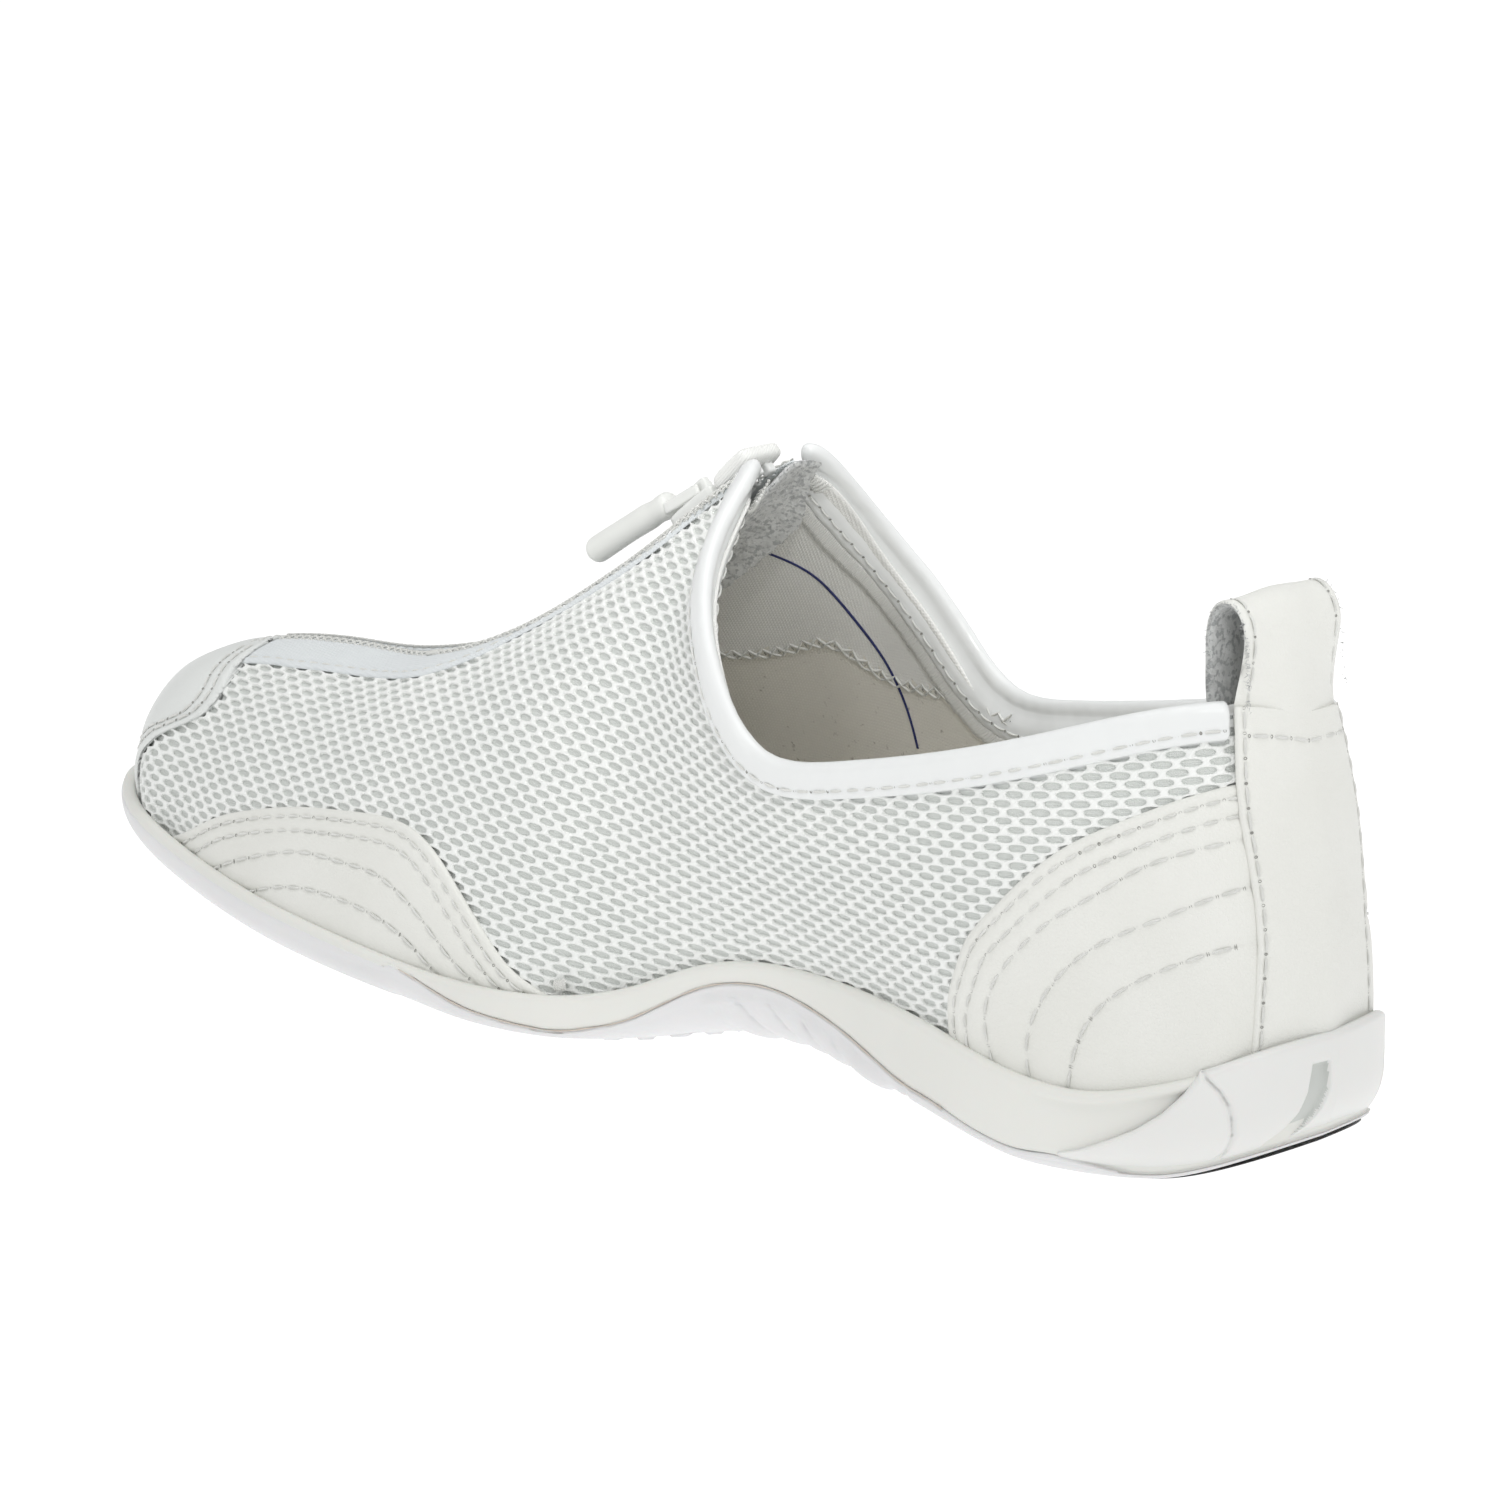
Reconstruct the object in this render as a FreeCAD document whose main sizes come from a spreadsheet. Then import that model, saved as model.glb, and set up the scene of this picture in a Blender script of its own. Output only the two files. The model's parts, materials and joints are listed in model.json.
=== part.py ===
# Zip-front slip-on training shoe for cheerleading (one right shoe), millimetres.
# Frame: +X heel to toe, +Y towards the inner (medial) side, +Z up, ground at Z = 0.
import FreeCAD, Part
import os, math
V = FreeCAD.Vector

doc = FreeCAD.newDocument("CheerShoe")
sheet = doc.addObject("Spreadsheet::Sheet", "Sizes")
CELLS = [
    ("leather_gauge", 1.0), ("mesh_gauge", 0.7), ("lining_gauge", 0.6), ("stiffener_gauge", 1.05),
    ("layer_gap", 0.05), ("wall_inset", 2.2), ("upper_inset", 2.6), ("insole_inset", 7.8),
    ("outsole_gauge", 2.6), ("board_gauge", 1.6), ("footbed_gauge", 4.0), ("cover_gauge", 0.8),
    ("plate_block", 44.0), ("plate_start", 4.0), ("cut_width", 260.0), ("cup_block", 40.0),
    ("arc_x", 260.2), ("arc_z", 254.0), ("arc_radius", 211.0),
    ("chain_gap", 0.6), ("chain_half", 2.35), ("tape_in", 2.42), ("tape_out", 4.55),
    ("slider_half", 3.6), ("slider_len", 9.0), ("blade_half", 0.3),
    ("guard_half", 3.5), ("grip_radius", 2.3), ("grip_len", 25.0), ("link_reach", 6.5), ("pin_radius", 0.6),
    ("loop_width", 25.0), ("loop_gauge", 1.2), ("binding_in", 4.3), ("binding_out", 0.8),
    ("tread_groove", 2.4), ("rib_width", 3.4), ("shank_width", 22.0), ("shank_gauge", 1.5),
    ("ctr_x", 134.77), ("ctr_y", -8.46), ("throat_half", 5.0),
]
for i, (name, val) in enumerate(CELLS):
    sheet.set("A%d" % (i + 1), name)
    sheet.set("B%d" % (i + 1), str(val))
    sheet.setAlias("B%d" % (i + 1), name)
doc.recompute()
def S(name):
    return float(getattr(sheet, name))

# ------------------------------------------------------------------ small maths
def vadd(a, b): return [a[0]+b[0], a[1]+b[1], a[2]+b[2]]
def vsub(a, b): return [a[0]-b[0], a[1]-b[1], a[2]-b[2]]
def vmul(a, s): return [a[0]*s, a[1]*s, a[2]*s]
def vcross(a, b): return [a[1]*b[2]-a[2]*b[1], a[2]*b[0]-a[0]*b[2], a[0]*b[1]-a[1]*b[0]]
def vnorm(a):
    l = math.sqrt(a[0]**2+a[1]**2+a[2]**2) or 1.0
    return [a[0]/l, a[1]/l, a[2]/l]
class Spline:
    """natural cubic spline through rows"""
    def __init__(self, ts, ps):
        self.ts = [float(x) for x in ts]
        self.p = [[float(x) for x in q] for q in ps]
        n = len(self.ts); d = len(self.p[0]); self.m = [[0.0]*d for _ in range(n)]
        h = [self.ts[i+1]-self.ts[i] for i in range(n-1)]
        for k in range(d if n > 2 else 0):
            a = [0.0]*n; b = [1.0]*n; c = [0.0]*n; r = [0.0]*n
            for i in range(1, n-1):
                a[i] = h[i-1]; b[i] = 2*(h[i-1]+h[i]); c[i] = h[i]
                r[i] = 6*((self.p[i+1][k]-self.p[i][k])/h[i]-(self.p[i][k]-self.p[i-1][k])/h[i-1])
            for i in range(1, n):
                w = a[i]/b[i-1]; b[i] -= w*c[i-1]; r[i] -= w*r[i-1]
            x = [0.0]*n; x[-1] = r[-1]/b[-1]
            for i in range(n-2, -1, -1): x[i] = (r[i]-c[i]*x[i+1])/b[i]
            for i in range(n): self.m[i][k] = x[i]
    def __call__(self, q):
        T = self.ts; lo, hi = 0, len(T)-1
        while hi-lo > 1:
            mid = (lo+hi)//2
            if T[mid] <= q: lo = mid
            else: hi = mid
        i = lo; h = T[i+1]-T[i]; a = (T[i+1]-q)/h; b = 1-a
        return [a*p0+b*p1+((a**3-a)*m0+(b**3-b)*m1)*h*h/6
                for p0, p1, m0, m1 in zip(self.p[i], self.p[i+1], self.m[i], self.m[i+1])]
def chord(ps):
    s = [0.0]
    for a, b in zip(ps, ps[1:]): s.append(s[-1]+math.hypot(a[0]-b[0], a[1]-b[1]))
    return s
def tab(rows):
    s = Spline([q[0] for q in rows], [q[1:] for q in rows]); lo, hi = rows[0][0], rows[-1][0]
    return lambda x: s(min(max(x, lo), hi))[0]
def lin(rows):
    def f(x):
        if x <= rows[0][0]: return rows[0][1]
        for (x0, y0), (x1, y1) in zip(rows, rows[1:]):
            if x <= x1: return y0+(y1-y0)*(x-x0)/(x1-x0)
        return rows[-1][1]
    return f

# ------------------------------------------------------------------ last and sole lines
seat_rows = [(-6,11.0),(30,10.8),(50,11.6),(70,12.8),(90,12.8),(108,10.4),(126,7.2),(142,5.9),(158,5.9),(176,6.8),(196,8.2),(216,11.2),(236,14.4),(252,16.8),(276,20.0)]
rim_rows = [(-6,24.0),(0,22.6),(6,19.5),(14,16.6),(24,14.7),(33,15.1),(44,16.9),(55,19),(66,20),(78,20.4),(90,20.4),(102,19.4),(112,16.5),(122,12.0),(132,9.0),(146,7.8),(162,8.4),(178,10),(196,12),(214,14.2),(232,16.8),(246,18.8),(257,20.3),(268,21.6),(276,22.4)]
bot_rows = [(-6,5.5),(0,3.6),(6,2.3),(16,1.4),(30,1.3),(44,3.5),(55,5.1),(66,6.4),(78,7.3),(90,7.9),(102,6.7),(112,4.6),(122,2.7),(132,1.5),(146,1.2),(162,1.8),(178,2.8),(196,4.4),(214,6.6),(232,9.4),(246,11.8),(257,13.7),(268,15.6),(276,17)]
seat_z = tab(seat_rows); rim_z = tab(rim_rows); bot_z = tab(bot_rows)
OM = [[-3.0,0.6],[-0.6,10.6],[4.8,18.6],[13,24.8],[27,30.0],[42,31.4],[56,29.6],[70,26.4],[84,23.8],[98,23.4],[112,25.0],[127,28.4],[141,32.8],[156,35.6],[168,36.4],[180,36.5],[192,36.0],[204,35.0],[218,32.7],[234,28.9],[247,24.4],[258,18.4],[266,11.4],[270.8,4.0],[272.8,-6.0]]
OL = [[-3.0,0.6],[-1.6,-9.0],[1.8,-17.6],[7.6,-24.2],[16.5,-29.2],[29,-33.0],[44,-35.4],[60,-37.2],[78,-39.2],[96,-42.0],[114,-46.0],[132,-50.0],[150,-52.8],[168,-53.4],[186,-52.2],[204,-49.6],[220,-46.0],[236,-40.8],[249,-34.4],[260,-26.0],[268.2,-16.4],[272.8,-6.0]]
def outl(P):
    s = chord(P); return Spline([x/s[-1] for x in s], P)
OUT = {1: outl(OM), -1: outl(OL)}
def out_xy(side, u, inset=0.0):
    sp = OUT[side]; e = 1e-3
    a = sp(max(0, u-e)); b = sp(min(1, u+e)); p = sp(u)
    tx, ty = b[0]-a[0], b[1]-a[1]; l = math.hypot(tx, ty); tx /= l; ty /= l
    def mix(tx, ty, w, ax, ay):
        tx, ty = tx*w+ax*(1-w), ty*w+ay*(1-w); l = math.hypot(tx, ty); return tx/l, ty/l
    if u < 0.03: tx, ty = mix(tx, ty, u/0.03, 0.0, float(side))
    if u > 0.97: tx, ty = mix(tx, ty, (1-u)/0.03, 0.0, -float(side))
    nx, ny = (-ty, tx) if side > 0 else (ty, -tx)
    return [p[0]-nx*inset, p[1]-ny*inset, nx, ny]
def near_u(side, x):
    best = None
    for i in range(1001):
        d = abs(OUT[side](i/1000.0)[0]-x)
        if best is None or d < best[0]: best = (d, i/1000.0)
    return best[1]
# stations: top-line point, x of the feather point, handles (out, up) below and (out, down) above
STM = [
 ((6.0,0.0,73.0),None,4,14,5.0,12), ((8.8,12.2,75.8),3.2,4,14,3.4,13), ((20.5,21.0,73.6),9,3,14,2.5,14),
 ((36,26.9,68.6),25,2,14,1.5,14), ((55,29.4,63.0),47,2,13,1,14), ((74,30.2,58.5),69,2.5,13,0,14),
 ((91.5,30.0,58.2),91,3,13,0,13), ((104.2,27.4,72.0),110,3,15,2,14), ((112.3,17.6,88.0),127,2,20,6,14),
 ((116.2,4.4,98.4),141,2,26,10,12), ((131,5.2,86.8),153,2,24,11,9), ((150,5.2,73.6),168,2,22,12,6.5),
 ((168,5.2,63.3),184,2,19,12,5), ((185,5.2,56.6),200,2.2,17,12,3.5), ((200,1.5,53.6),214,2.5,16,12,2.5),
 ((214,0.2,53.0),228,3,16,11,2), ((229,0.2,51.6),242,3,15,10,2), ((244,0.2,48.2),256,4.2,15,12,2.5),
 ((257,0.2,42.6),None,4.6,14,12.5,4)]
LT = {0:(6.0,0.0,73.0),1:(8.4,-12.2,72.2),2:(20.5,-21.0,69.4),3:(36,-26.9,65.5),4:(55,-29.4,61.4),5:(74,-30.2,58.2),6:(90.5,-32.4,58.8),7:(102.4,-30.2,72.4),8:(110.2,-20.0,88.4),9:(113.0,-5.2,100.2)}
def build(side):
    n = len(STM); rows = []
    for k, (T, bx, ho, hu, to, td) in enumerate(STM):
        T = list(LT[k]) if (side < 0 and k in LT) else [T[0], T[1]*side, T[2]]
        u = 0.0 if k == 0 else (1.0 if k == n-1 else near_u(side, bx))
        x, y, nx, ny = out_xy(side, u, S("upper_inset"))
        B = [x, y, seat_z(x)+0.4]
        d = [B[0]-T[0], B[1]-T[1]]; l = math.hypot(*d); d = [d[0]/l, d[1]/l]
        if k <= 6: d = [nx, ny]
        elif k == 7: d = [0.5*d[0]+0.5*nx, 0.5*d[1]+0.5*ny]
        if side < 0 and k > 7: to = to+3; ho = ho+0.5
        if side < 0 and 3 <= k <= 7: hu = hu+2
        rows.append(T+B+[nx*ho, ny*ho, hu]+[d[0]*to, d[1]*to, -td])
    return Spline([i/(n-1.0) for i in range(n)], rows)
SP = {1: build(1), -1: build(-1)}
def P0(side, u, v):
    r = SP[side](min(1.0, max(0.0, u))); T, B, hB, hT = r[0:3], r[3:6], r[6:9], r[9:12]
    b = vadd(B, hB); c = vadd(T, hT); w = 1-v
    return [B[i]*w**3+3*b[i]*w*w*v+3*c[i]*w*v*v+T[i]*v**3 for i in range(3)]
def nrm(side, u, v):
    e = 2e-3
    u0, u1 = max(0.0, u-e), min(1.0, u+e); v0, v1 = max(0.0, v-e), min(1.0, v+e)
    n = vnorm(vcross(vsub(P0(side, u1, v), P0(side, u0, v)), vsub(P0(side, u, v1), P0(side, u, v0))))
    if side > 0: n = vmul(n, -1)
    # across the heel and toe centre lines the normal lies in the centre plane
    w = 1.0
    if u < 0.012: w = u/0.012
    if u > 0.985: w = (1-u)/0.015
    if w < 1.0: n = vnorm([n[0], n[1]*w, n[2]])
    return n
def PT(side, u, v, off=0.0):
    p = P0(side, u, v)
    return vadd(p, vmul(nrm(side, u, v), off)) if off else p

# ------------------------------------------------------------------ document helpers
NODES = []
def node(obj, label):
    obj.Label = label
    NODES.append((obj, label))
    return obj
def check(o):
    bad = [s for s in o.State if s in ("Invalid", "Error")]
    if bad: raise RuntimeError("%s failed: %s" % (o.Label, o.State))
def role(body, r):
    for f in body.Origin.OriginFeatures:
        if f.Role == r: return f
    raise RuntimeError(r)
def sketch(body, name, plane):
    sk = body.newObject("Sketcher::SketchObject", name)
    sk.AttachmentSupport = [(role(body, plane), "")]
    sk.MapMode = "FlatFace"
    return sk
def closed_curve(sk, pts):
    c = Part.BSplineCurve(); c.interpolate([V(x, y, 0) for x, y in pts], PeriodicFlag=True)
    sk.addGeometry(c, False)
def cut_profile(sk, rows, z_far, lift=0.0):
    """a region between a height curve and the level z_far"""
    pts = [V(x, z+lift, 0) for x, z in rows]
    c = Part.BSplineCurve(); c.interpolate(pts)
    a, b = pts[0], pts[-1]
    sk.addGeometry(c, False)
    sk.addGeometry(Part.LineSegment(b, V(b.x, z_far, 0)), False)
    sk.addGeometry(Part.LineSegment(V(b.x, z_far, 0), V(a.x, z_far, 0)), False)
    sk.addGeometry(Part.LineSegment(V(a.x, z_far, 0), a), False)
def sample(f, lift=0.0, x0=-40.0, x1=310.0, n=60):
    return [(x0+(x1-x0)*i/n, f(x0+(x1-x0)*i/n)+lift) for i in range(n+1)]
def outline_pts(inset, n=34):
    pts = []
    for i in range(n): pts.append(out_xy(1, (i+0.0)/n, inset)[:2])
    for i in range(n): pts.append(out_xy(-1, 1.0-(i+0.0)/n, inset)[:2])
    return pts
def pad(body, sk, length, sym=False, rev=False):
    p = body.newObject("PartDesign::Pad", sk.Name+"_pad")
    p.Profile = sk
    p.setExpression("Length", length)
    if sym: p.SideType = "Symmetric"
    if rev: p.Reversed = True
    doc.recompute(); check(p)
    return p
def pocket(body, sk, length="Sizes.cut_width", sym=True, rev=False):
    before = body.Shape.Volume
    p = body.newObject("PartDesign::Pocket", sk.Name+"_cut")
    p.Profile = sk
    p.setExpression("Length", length)
    if sym: p.SideType = "Symmetric"
    if rev: p.Reversed = True
    doc.recompute(); check(p)
    if body.Shape.Volume > before-1e-3: raise RuntimeError("nothing cut by "+sk.Name)
    return p
def plate(name, pts, top, bottom):
    """plan outline padded upwards, then trimmed by side profiles above and below"""
    b = doc.addObject("PartDesign::Body", name)
    sk = sketch(b, name+"_plan", "XY_Plane")
    sk.AttachmentOffset = FreeCAD.Placement(V(0, 0, -4), FreeCAD.Rotation())
    closed_curve(sk, pts)
    pad(b, sk, "Sizes.plate_block")
    if top is not None:
        s2 = sketch(b, name+"_top", "XZ_Plane"); cut_profile(s2, top, 70.0); pocket(b, s2)
    if bottom is not None:
        s3 = sketch(b, name+"_under", "XZ_Plane"); cut_profile(s3, bottom, -30.0); pocket(b, s3)
    return b
def feature(name, shape, label=None):
    f = doc.addObject("Part::Feature", name)
    f.Shape = shape
    return node(f, label or name)

# ------------------------------------------------------------------ freeform sheets
def grid_solid(fo, fi, nu, nv):
    """closed solid between two interpolated sheets with ruled edges"""
    def surf(f):
        s = Part.BSplineSurface()
        s.interpolate([[V(*f(i/float(nu), j/float(nv))) for j in range(nv+1)] for i in range(nu+1)])
        return s
    a, b = surf(fo), surf(fi)
    def isos(s):
        u0, u1, v0, v1 = s.bounds()
        return [s.uIso(u0), s.uIso(u1), s.vIso(v0), s.vIso(v1)]
    faces = [a.toShape(), b.toShape()]
    for ca, cb in zip(isos(a), isos(b)):
        faces.append(Part.makeRuledSurface(ca.toShape(), cb.toShape()))
    sh = Part.makeCompound([f if f.ShapeType == "Face" else f.Faces[0] for f in faces])
    sh.sewShape(1e-3)
    shell = sh if sh.ShapeType == "Shell" else (sh.Shells[0] if sh.Shells else Part.makeShell(sh.Faces))
    so = Part.makeSolid(shell)
    if so.Volume < 0: so.reverse()
    if not so.isValid():
        so.fix(1e-4, 1e-4, 1e-3)
    return so
def patch(side, ua, ub, va, vb, o_out, o_in, nu, nv):
    """va, vb are functions of u"""
    def f(off):
        def g(i, j):
            u = ua+(ub-ua)*i; a, b = va(u), vb(u)
            return PT(side, u, a+(b-a)*j, off)
        return g
    return grid_solid(f(o_out), f(o_in), nu, nv)
def wrap(c_u, va, vb, o_out, o_in, nu, nv, at_toe=False):
    """a piece that crosses the heel (or toe) centre line: c_u(v) is its half width in u"""
    def f(off):
        def g(i, j):
            v = va+(vb-va)*j; s = 2*i-1.0
            side = 1 if s >= 0 else -1
            d = abs(s)*c_u(v)
            return PT(side, 1-d if at_toe else d, v, off)
        return g
    return grid_solid(f(o_out), f(o_in), nu, nv)
lg, mg, ng, sg, gp = S("leather_gauge"), S("mesh_gauge"), S("lining_gauge"), S("stiffener_gauge"), S("layer_gap")
O_MESH = -(lg+gp); I_MESH = O_MESH-mg
O_STIF = I_MESH-gp; I_STIF = O_STIF-sg
O_LIN = I_STIF-gp; I_LIN = O_LIN-ng
TH = S("throat_half")
def ylim(u):
    if u <= 0.50: return -99.0
    if u < 0.72: return TH
    if u < 0.80: return TH+(0.3-TH)*(u-0.72)/0.08
    return 0.3
def vstop(side, u, off, margin=0.0):
    """highest v at which a layer at this depth still clears the zip slot"""
    lo, hi = 0.5, 1.0
    y = ylim(u)
    def ok(v): return PT(side, u, v, off)[1]*side >= y
    if y < 0: top = 1.0
    elif ok(1.0): top = 1.0
    else:
        for _ in range(22):
            m = 0.5*(lo+hi)
            if ok(m): lo = m
            else: hi = m
        top = lo
    return top-margin
def collar_margin(u):
    return lin([(0.0,0.115),(0.06,0.11),(0.30,0.125),(0.38,0.10),(0.44,0.07),(0.49,0.05),(0.52,0.02),(0.56,0.0)])(u)
def vtop(side, u, off):
    return min(vstop(side, u, off), 1.0-collar_margin(u))
def vtop_tab(side, off, n=90):
    rows = [(i/float(n), vtop(side, i/float(n), off)) for i in range(n+1)]
    # a running minimum smooths the step where the slot begins
    out = []
    for i in range(n+1):
        w = rows[max(0, i-2):min(n+1, i+3)]
        out.append((rows[i][0], sum(q[1] for q in w)/len(w)-0.004))
    return lin(out)

# ================================================================== SOLE
ins = S("wall_inset"); og = S("outsole_gauge")
midsole_block = plate("midsole_block", outline_pts(0.0), sample(rim_z), sample(bot_z, og))
cup_tool = plate("cup_space", outline_pts(ins), None, sample(seat_z))
shank = doc.addObject("PartDesign::Body", "shank")
sk = sketch(shank, "shank_plan", "XY_Plane")
hw = S("shank_width")/2
pl = [(58,-7),(62,-hw-3),(90,-hw-3),(122,-hw),(126,-4),(122,hw-5),(90,hw-6),(62,hw-4)]
closed_curve(sk, pl)
pad(shank, sk, "Sizes.cup_block")
s2 = sketch(shank, "shank_top", "XZ_Plane"); cut_profile(s2, sample(seat_z), 70.0); pocket(shank, s2)
s3 = sketch(shank, "shank_under", "XZ_Plane"); cut_profile(s3, sample(seat_z, -S("shank_gauge")), -30.0); pocket(shank, s3)
node(shank, "shank")

heel_clip_env = plate("heel_wrap_block", outline_pts(0.0), sample(rim_z), sample(bot_z))
# forward edge of the heel wrap: leans forward towards the ground
fe = sketch(heel_clip_env, "heel_wrap_front", "XZ_Plane")
fp = [V(16.5, 40, 0), V(17.0, 16.4, 0), V(24, 11.0, 0), V(33, 7.4, 0), V(42, 4.6, 0), V(50, -20, 0), V(300, -20, 0), V(300, 40, 0)]
for a, b in zip(fp, fp[1:]+fp[:1]): fe.addGeometry(Part.LineSegment(a, b), False)
pocket(heel_clip_env, fe)
def cut(name, base, tool):
    c = doc.addObject("Part::Cut", name); c.Base = base; c.Tool = tool
    doc.recompute(); check(c); return c
cup1 = cut("midsole_cup", midsole_block, cup_tool)
cup2 = cut("midsole_shank_seat", cup1, shank)
wrap_core = plate("heel_wrap_core", outline_pts(2.0), None, sample(bot_z, og))
heel_ring = cut("heel_wrap_ring", heel_clip_env, wrap_core)
midsole = cut("midsole", cup2, heel_ring); node(midsole, "midsole")
out_block = plate("outsole_block", outline_pts(0.9), sample(bot_z, og), sample(bot_z))
outsole = cut("outsole", out_block, heel_ring); node(outsole, "outsole")
# slots moulded into the back of the heel wrap
slot_tools = []
for i, (x, y, ang, w) in enumerate([(-1.5, 12.6, 30, 1.6), (-3.6, -4.4, -2, 3.4), (-0.6, -15.2, -30, 1.6), (9.4, 24.4, 52, 1.2)]):
    bx = doc.addObject("Part::Box", "wrap_slot_%d" % (i+1))
    bx.Length = 2.4; bx.Width = w; bx.Height = 11.5
    bx.Placement = FreeCAD.Placement(V(x, y, 7.5), FreeCAD.Rotation(V(0, 0, 1), ang+180), V(0.0, 0.0, 0.0))
    # the slot leans backwards with the heel
    bx.Placement = FreeCAD.Placement(V(x, y, 7.5), FreeCAD.Rotation(-ang if x > -9 else ang, 0, -14 if y > 0 else 14))
    slot_tools.append(bx)
doc.recompute()
sl = doc.addObject("Part::Compound", "wrap_slots"); sl.Links = slot_tools
heel_wrap = cut("heel_wrap", heel_ring, sl); node(heel_wrap, "heel_wrap")

def tread(name, x0, x1, inset, pitch):
    b = doc.addObject("PartDesign::Body", name)
    sk = sketch(b, name+"_plan", "XY_Plane")
    up = [u/200.0 for u in range(201)]
    med = [out_xy(1, u, inset)[:2] for u in up]; lat = [out_xy(-1, u, inset)[:2] for u in up]
    med = [p for p in med if x0 <= p[0] <= x1][::6]; lat = [p for p in lat if x0 <= p[0] <= x1][::6]
    poly = med+lat[::-1]
    pv = [V(p[0], p[1], 0) for p in poly]
    for a, c in zip(pv, pv[1:]+pv[:1]): sk.addGeometry(Part.LineSegment(a, c), False)
    pad(b, sk, "Sizes.cup_block")
    s2 = sketch(b, name+"_top", "XZ_Plane"); cut_profile(s2, sample(bot_z), 70.0); pocket(b, s2)
    g = sketch(b, name+"_groove", "XY_Plane")
    k = int((x1-x0)/pitch)
    w = S("tread_groove")
    for i in range(1, k+1):
        xc = x0+i*pitch
        if xc+w > x1-2: break
        q = []
        for j in range(9):
            y = 60-15.0*j
            q.append(V(xc+3.0*math.cos(y/14.0), y, 0))
        r = [V(p.x+w, p.y, 0) for p in q[::-1]]
        ring = q+r
        for a, c in zip(ring, ring[1:]+ring[:1]): g.addGeometry(Part.LineSegment(a, c), False)
    pocket(b, g, "Sizes.cup_block", sym=True)
    return node(b, name)
tread("heel_tread_pads", 7.0, 41.0, 6.0, 9.0)
tread("forefoot_tread_pads", 123.0, 187.0, 6.0, 10.5)

# raised bars under the inner side of the arch
ribs = []
for i in range(5):
    bx = doc.addObject("Part::Box", "rib_%d" % (i+1))
    bx.setExpression("Width", "Sizes.rib_width")
    bx.Length = 19.0; bx.Height = 2.6
    x = 55.0+8.2*i
    yo = [p for p in [out_xy(1, u/400.0, 0.0) for u in range(401)] if abs(p[0]-x) < 0.8][0][1]
    bx.Placement = FreeCAD.Placement(V(x-4.0, yo-16.6, bot_z(x)-2.6-0.02+0.0), FreeCAD.Rotation(V(0, 0, 1), 58))
    ribs.append(bx)
doc.recompute()
rc = doc.addObject("Part::Compound", "arch_rib_bars"); rc.Links = ribs
rib_cut = cut("arch_ribs", rc, out_block); node(rib_cut, "arch_ribs")

bg, fg, cg = S("board_gauge"), S("footbed_gauge"), S("cover_gauge")
ii = S("insole_inset")
e = 0.02
node(plate("insole_board", outline_pts(ii), sample(seat_z, bg), sample(seat_z, e)), "insole_board")
fb = plate("footbed_block", outline_pts(ii+1.3), sample(seat_z, bg+fg), sample(seat_z, bg+e))
hc = doc.addObject("PartDesign::Body", "heel_cushion")
sk = sketch(hc, "heel_cushion_plan", "XY_Plane")
closed_curve(sk, [(33+21*math.cos(a*math.pi/8), -1.0+16*math.sin(a*math.pi/8)) for a in range(16)])
pad(hc, sk, "Sizes.cup_block")
s2 = sketch(hc, "heel_cushion_top", "XZ_Plane"); cut_profile(s2, sample(seat_z, bg+2.2), 70.0); pocket(hc, s2)
s3 = sketch(hc, "heel_cushion_under", "XZ_Plane"); cut_profile(s3, sample(seat_z, bg+e), -30.0); pocket(hc, s3)
node(hc, "heel_cushion")
footbed = cut("footbed", fb, hc); node(footbed, "footbed")
node(plate("footbed_cover", outline_pts(ii+1.0), sample(seat_z, bg+fg+cg), sample(seat_z, bg+fg+e)), "footbed_cover")

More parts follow.
